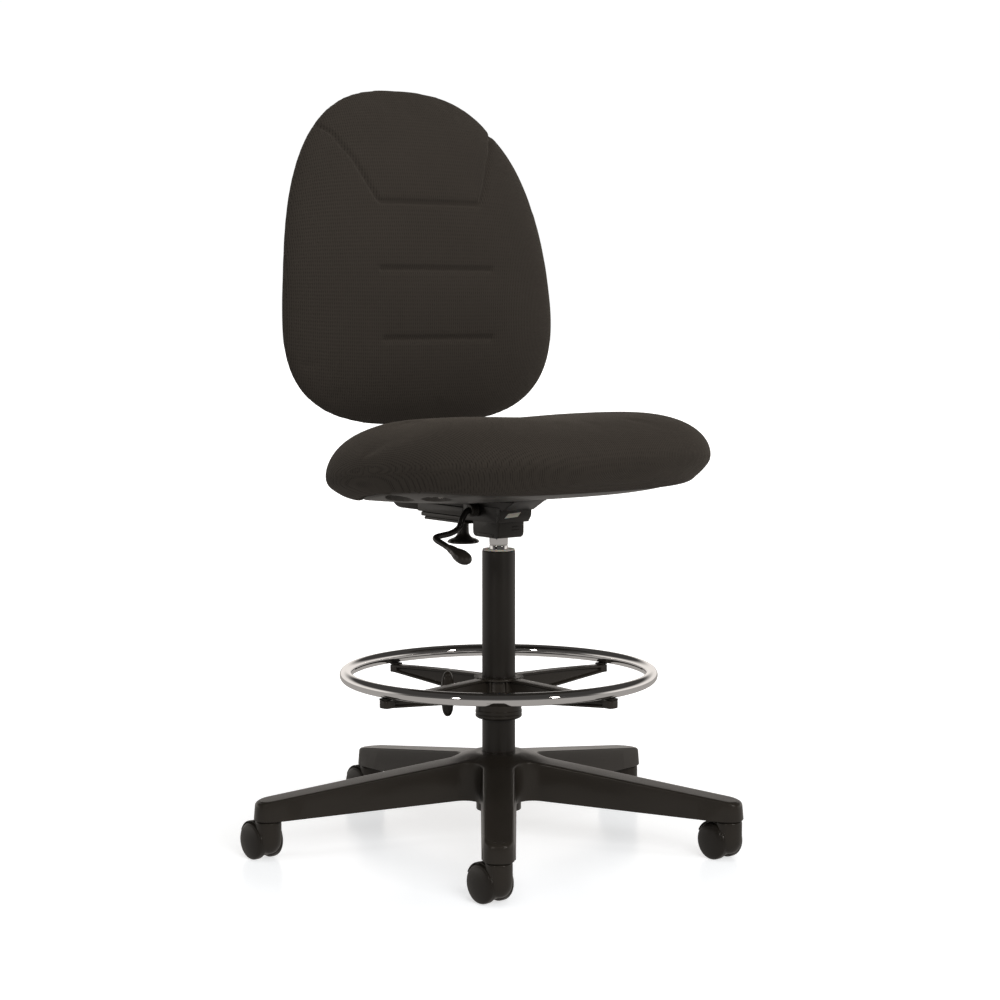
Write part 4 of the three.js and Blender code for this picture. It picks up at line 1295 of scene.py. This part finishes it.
def swell(made, pinned):
    """Blows the mesh up a little as cloth, the way foam fills its cover."""
    spots = (read_points(made.data) - AXIS) / MM
    group = made.vertex_groups.new(name="held")
    group.add([int(i) for i in np.nonzero(pinned(spots))[0]], 1.0, "REPLACE")
    cloth = made.modifiers.new("cloth", "CLOTH")
    for key, value in CLOTH.items():
        setattr(cloth.settings, key, value)
    cloth.settings.vertex_group_mass = group.name
    cloth.settings.effector_weights.gravity = 0
    cloth.collision_settings.use_collision = False
    cloth.point_cache.frame_start = 1
    cloth.point_cache.frame_end = SWELL_FRAMES
    for step in range(1, SWELL_FRAMES + 1):
        bpy.context.scene.frame_set(step)
    apply_modifiers(made)
    bpy.context.scene.frame_set(1)


def apply_modifiers(made):
    bpy.context.view_layer.update()
    graph = bpy.context.evaluated_depsgraph_get()
    mesh = bpy.data.meshes.new_from_object(made.evaluated_get(graph))
    old = made.data
    made.modifiers.clear()
    made.data = mesh
    bpy.data.meshes.remove(old)


def read_points(mesh):
    flat = np.zeros(len(mesh.vertices) * 3)
    mesh.vertices.foreach_get("co", flat)
    return flat.reshape(-1, 3)


def write_points(mesh, points):
    mesh.vertices.foreach_set("co", np.asarray(points, float).ravel())
    mesh.update()


def read_normals(mesh):
    flat = np.zeros(len(mesh.vertices) * 3, np.float32)
    mesh.vertices.foreach_get("normal", flat)
    return flat.reshape(-1, 3).astype(float)


WEAVE_STRETCH = 0.85
WEAVE_CORE = 60


def write_weave(made, flat, way_down):
    """Stores metres along the cloth, for the knit: flat places, stretched where the surface falls away."""
    reach = np.linalg.norm(flat, axis=1)
    cloth = flat * (1 + WEAVE_STRETCH * way_down / np.maximum(reach, WEAVE_CORE))[:, None]
    metres = np.pad(cloth, ((0, 0), (0, 1))) * MM
    attribute = made.data.attributes.new(WEAVE, "FLOAT_VECTOR", "POINT")
    attribute.data.foreach_set("vector", metres.astype(np.float32).ravel())


def add_seat_cushion():
    points, faces = seat_cushion_form()

    def held(spots):
        return (seat_share(spots[:, 0], spots[:, 1]) < 0.9) & (spots[:, 2] < seat_edge(spots[:, 1]) - 8)

    made = stuffed("seat_cushion_knit", points, faces, held)
    spots = (read_points(made.data) - AXIS) / MM
    share = np.clip(seat_share(spots[:, 0], spots[:, 1]), 0, 1)
    edge = seat_edge(spots[:, 1])
    across, back = spots[:, 0] / SEAT["half_wide"], (spots[:, 1] - SEAT["centre"]) / SEAT["half_deep"]
    height = seat_height(across ** 2, back)
    way_down = np.where(spots[:, 2] < edge, height + edge - spots[:, 2], height * (1 - seat_dome(share)))
    flat = np.stack([spots[:, 0], spots[:, 1] - SEAT["centre"]], 1)
    write_weave(made, flat, way_down)
    finish_cushion(made, "seat_assembly", "seat_cushion")


def finish_cushion(made, body, node):
    made.data.materials.clear()
    made.data.materials.append(MATERIALS["fabric_knit"])
    made.data.shade_smooth()
    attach(made, body)
    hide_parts(node)


def pocket_share(x, y):
    """1 inside an armrest pocket and 0 outside, with the height of the nearest pocket's floor."""
    inside, floor = np.zeros_like(x), np.zeros_like(x)
    for pocket in POCKETS:
        for side in (-1, 1):
            u = (x - side * pocket["x"]) / POCKET["half_wide"]
            v = (y - pocket["y"]) / POCKET["half_long"]
            here = smoothstep(1.08, 0.92, np.hypot(u, v))
            floor = np.where(here > inside, pocket["floor"], floor)
            inside = np.maximum(inside, here)
    return inside, floor


def add_seat_pan():
    """The grey pan under the seat: a low rim, a rounded fall to a flat face and the oval armrest pockets."""
    bottom = span("seat_pan")[0][2]
    steps = 320

    def top(x, y):
        return seat_edge(y) - PAN["depth"] + 0.1

    def under(x, y):
        return max(bottom, float(seat_under(x, y)) - 0.6)

    rings = [pan_ring(share, 0, top, steps) for share in (0.05, 0.9, 0.996)]
    rings.append(pan_ring(1, 0, lambda x, y: top(x, y) - 0.8, steps))
    rings.append(pan_ring(1, 0, lambda x, y: under(x, y) + 0.8, steps))
    for share in np.linspace(0.996, 0.03, 110):
        ring = np.array(pan_ring(share, 0, under, steps))
        inside, floor = pocket_share(ring[:, 0], ring[:, 1])
        ring[:, 2] += inside * np.maximum(0, floor - ring[:, 2])
        rings.append(ring)
    shape = Shape().add(*skin(rings))
    shape.make("seat_pan_moulding", "seat_assembly", "pan_plastic", ["seat_pan"], sharp=50)


def add_pan_screws():
    """Two pan-head screws in each armrest pocket."""
    shape = Shape()
    for pocket in POCKETS:
        top = pocket["floor"] - 0.1
        profile = soften([
            (0, top - 1.6), (1.2, top - 1.6), (1.5, top - 2.6), (3.6, top - 2.0), (4.2, top - 0.6),
            (4.2, top), (0, top),
        ], [0, 0.2, 0.3, 0.6, 0.5, 0.1, 0])
        points, faces = lathe(profile, 28)
        for side in (-1, 1):
            for ahead in (-11, 11):
                spot = (side * pocket["x"], pocket["y"] + ahead)
                shape.add(points, faces, lambda p, spot=spot: (p[0] + spot[0], p[1] + spot[1], p[2]))
    shape.make("pan_screws", "seat_assembly", "zinc_steel")


# ---------------------------------------------------------------- back
BACK = {
    "half_wide": 249, "centre": 847, "up": 300, "down": 223, "up_power": 2.63, "down_power": 2.95,
    "taper": 0.12, "y": 200.6, "lumbar": 763, "lean": 5.7e-4, "ease": 3.5e-7,
    "front": 52, "rear": 14, "shell": 34, "inset": 0.93,
}


def back_middle(z):
    """The back's mid-surface, which leans away above the lumbar."""
    above = np.maximum(0.0, np.asarray(z, float) - BACK["lumbar"])
    return BACK["y"] + BACK["lean"] * above ** 2 - BACK["ease"] * above ** 3


def back_ring(share, depth, steps=128):
    ring = []
    for k in range(steps):
        angle = 2 * math.pi * k / steps
        c, s = math.cos(angle), math.sin(angle)
        tall, power = (BACK["up"], BACK["up_power"]) if s >= 0 else (BACK["down"], BACK["down_power"])
        reach = share * squircle(c, s, power)
        rise = tall * reach * s
        x = BACK["half_wide"] * reach * c * (1 - BACK["taper"] * rise / BACK["up"])
        ring.append((x, float(back_middle(BACK["centre"] + rise)) + depth, BACK["centre"] + rise))
    return ring


def back_share(x, z):
    """0 at the back's centre, 1 on its outline."""
    rise = z - BACK["centre"]
    wide = x / (BACK["half_wide"] * (1 - BACK["taper"] * rise / BACK["up"]))
    shares = []
    for tall, power in ((BACK["up"], BACK["up_power"]), (BACK["down"], BACK["down_power"])):
        shares.append((np.abs(wide) ** power + np.abs(rise / tall) ** power) ** (1 / power))
    return np.where(rise >= 0, *shares)


def back_cushion_form():
    rings = [back_ring(share, BACK["rear"]) for share in (0.03, 0.3, 0.6, 0.85, 0.93)]
    for angle in (0.3, 0.7, 1.05, 1.35):
        rings.append(back_ring(0.93 + 0.07 * math.sin(angle), BACK["rear"] * math.cos(angle)))
    shares = [1, 0.998, 0.994, 0.987, 0.976, 0.96, 0.94, 0.91, 0.87, 0.82, 0.76, 0.69, 0.61, 0.52, 0.43,
              0.33, 0.22, 0.12, 0.03]
    rings += [back_ring(share, -BACK["front"] * math.sqrt(1 - share ** 3)) for share in shares]
    return skin(rings)


HEAD_SEAM = [(163, 1083), (150, 1072), (141, 1053), (128.4, 1036), (116, 1009), (106, 989), (95, 968.5)]
CHANNELS = [(103, 866.7), (100, 759.8)]
GROOVE = {"depth": 4.6, "half": 4.4, "pillow": 1.6, "pillow_half": 26.0}


def distance_to_path(x, z, path):
    """Distance from points to an open polyline."""
    best = np.full(len(x), 1e9)
    for (ax, az), (bx, bz) in zip(path, path[1:]):
        dx, dz = bx - ax, bz - az
        length = math.hypot(dx, dz)
        t = np.clip(((x - ax) * dx + (z - az) * dz) / length ** 2, 0, 1)
        best = np.minimum(best, np.hypot(x - ax - t * dx, z - az - t * dz))
    return best


def back_seams():
    """The sewn lines on the back's face: the headrest panel's outline and two short channels."""
    left = [(-x, z) for x, z in reversed(HEAD_SEAM)]
    head = soften(HEAD_SEAM + left, 5, steps=3)
    return [head] + [[(-half, z), (half, z)] for half, z in CHANNELS]


def add_back_cushion():
    points, faces = back_cushion_form()

    def held(spots):
        return spots[:, 1] > back_middle(spots[:, 2]) + BACK["rear"] - 3

    made = stuffed("back_cushion_knit", points, faces, held)
    spots = (read_points(made.data) - AXIS) / MM
    normals = read_normals(made.data)
    front = smoothstep(8, -12, spots[:, 1] - back_middle(spots[:, 2]))
    sunk = np.zeros(len(spots))
    for seam in back_seams():
        gap = distance_to_path(spots[:, 0], spots[:, 2], seam)
        valley = np.exp(-(gap / GROOVE["half"]) ** 2)
        pillow = np.exp(-(gap / GROOVE["pillow_half"]) ** 2)
        sunk = np.maximum(sunk, GROOVE["depth"] * valley + GROOVE["pillow"] * pillow)
    spots -= normals * (sunk * front)[:, None]
    write_points(made.data, spots * MM + AXIS)
    share = np.clip(back_share(spots[:, 0], spots[:, 2]), 0, 1)
    fall = BACK["front"] * (1 - np.sqrt(np.clip(1 - share ** 3, 0, 1)))
    behind = spots[:, 1] - back_middle(spots[:, 2])
    way_down = np.where(behind > 0, BACK["front"] + behind, fall)
    flat = np.stack([spots[:, 0], spots[:, 2] - BACK["centre"]], 1)
    write_weave(made, flat, way_down)
    finish_cushion(made, "backrest", "back_cushion")


def add_back_shell():
    """The moulded rear cover, with a raised landing where the bracket sits."""
    rings = [back_ring(share, BACK["rear"] + 1.3, 192) for share in (0.03, 0.5, 0.9, BACK["inset"] - 0.004)]
    rings.append(back_ring(BACK["inset"], BACK["rear"] + 2.0, 192))
    for k in range(1, 40):
        share = BACK["inset"] * math.cos(math.pi / 2 * k / 40)
        bulge = (BACK["shell"] - BACK["rear"] - 2) * math.sqrt(max(0.0, 1 - (share / BACK["inset"]) ** 4))
        rings.append(back_ring(share, BACK["rear"] + 2 + bulge, 192))
    shape = Shape().add(*skin(rings))
    shape.make("back_shell_moulding", "backrest", "black_plastic", ["back_shell"], sharp=50)


BAR = {
    "half": 25, "thick": 18, "bottom": 494, "rear": 257, "corner": 33, "start": 170.3, "top": 830, "edge": 2.6,
}


def add_back_bar():
    """A flat bar that runs back under the seat, bends up and carries the back."""
    thick, bottom, rear, corner = BAR["thick"], BAR["bottom"], BAR["rear"], BAR["corner"]

    def bend(radius, angles):
        back, up = rear - corner, bottom + corner
        return [(back + radius * math.sin(angle), up - radius * math.cos(angle)) for angle in angles]

    outer = bend(corner, np.linspace(0, math.pi / 2, 13))
    inner = bend(corner - thick, np.linspace(math.pi / 2, 0, 9))
    top = [(rear - 1.5, BAR["top"]), (rear - thick + 1.5, BAR["top"])]
    outline = [(BAR["start"], bottom), *outer, *top, *inner, (BAR["start"], bottom + thick)]
    mirrored = [(-u, v) for u, v in outline]
    shape = Shape().add(*prism(mirrored, -BAR["half"], BAR["half"], BAR["edge"], lambda u, v, w: (w, -u, v)))
    shape.make("back_bar_moulding", "seat_assembly", "black_plastic", ["back_bar"], sharp=45)


SLEEVE_GAP = 0.4


def add_bracket():
    """A closed sleeve about the bar, made of four walls."""
    low, high = span("back_bracket")
    room = BAR["half"] + SLEEVE_GAP
    fore, aft = BAR["rear"] - BAR["thick"] - SLEEVE_GAP, BAR["rear"] + SLEEVE_GAP
    outer = soften(rectangle(low, high), [2, 2, 6, 6], closed=True, steps=5)
    inner = soften(rectangle((-room, fore), (room, aft)), [1, 1, 3, 3], closed=True, steps=5)
    normals = inward(outer)
    edge = 1.6
    rim = ((edge, 0), (edge * 0.3, edge * 0.3), (0, edge))
    levels = [(inset, low[2] + height) for inset, height in rim]
    levels += [(inset, high[2] - height) for inset, height in reversed(rim)]
    rings = []
    for inset, height in levels:
        rings.append([(u + n[0] * inset, v + n[1] * inset, height) for (u, v), n in zip(outer, normals)])
    rings.append([(u, v, high[2]) for u, v in inner])
    rings.append([(u, v, low[2]) for u, v in inner])
    rings.append(rings[0])
    shape = Shape().add(*skin(rings, capped=False))
    shape.make("back_bracket_sleeve", "backrest", "black_plastic", ["back_bracket"], sharp=45)


# ---------------------------------------------------------------- carried-over CAD nodes
HIDDEN_NODES = ("piston_rod", "thrust_bearing", "retaining_clip", "valve_button")


def dress_hidden_parts():
    """Parts inside the column and mechanism keep their CAD shapes and get the finished steel."""
    for node in HIDDEN_NODES:
        mesh = frame["nodes"][node].data
        mesh.materials.clear()
        mesh.materials.append(MATERIALS["zinc_steel"])


add_studio()
add_star_base()
add_casters()
add_column()
add_ring()
add_spider()
add_ring_pads()
add_collar()
add_wing_knob()
add_tilt_housing()
add_chassis()
add_blank_label()
add_spring_housing()
add_plate()
add_seat_bolts()
add_tension_knob()
add_tension_screw()
add_lever_bush()
add_lever_rod()
add_lever_paddle()
add_seat_cushion()
add_seat_pan()
add_pan_screws()
add_back_cushion()
add_back_shell()
add_back_bar()
add_bracket()
dress_hidden_parts()
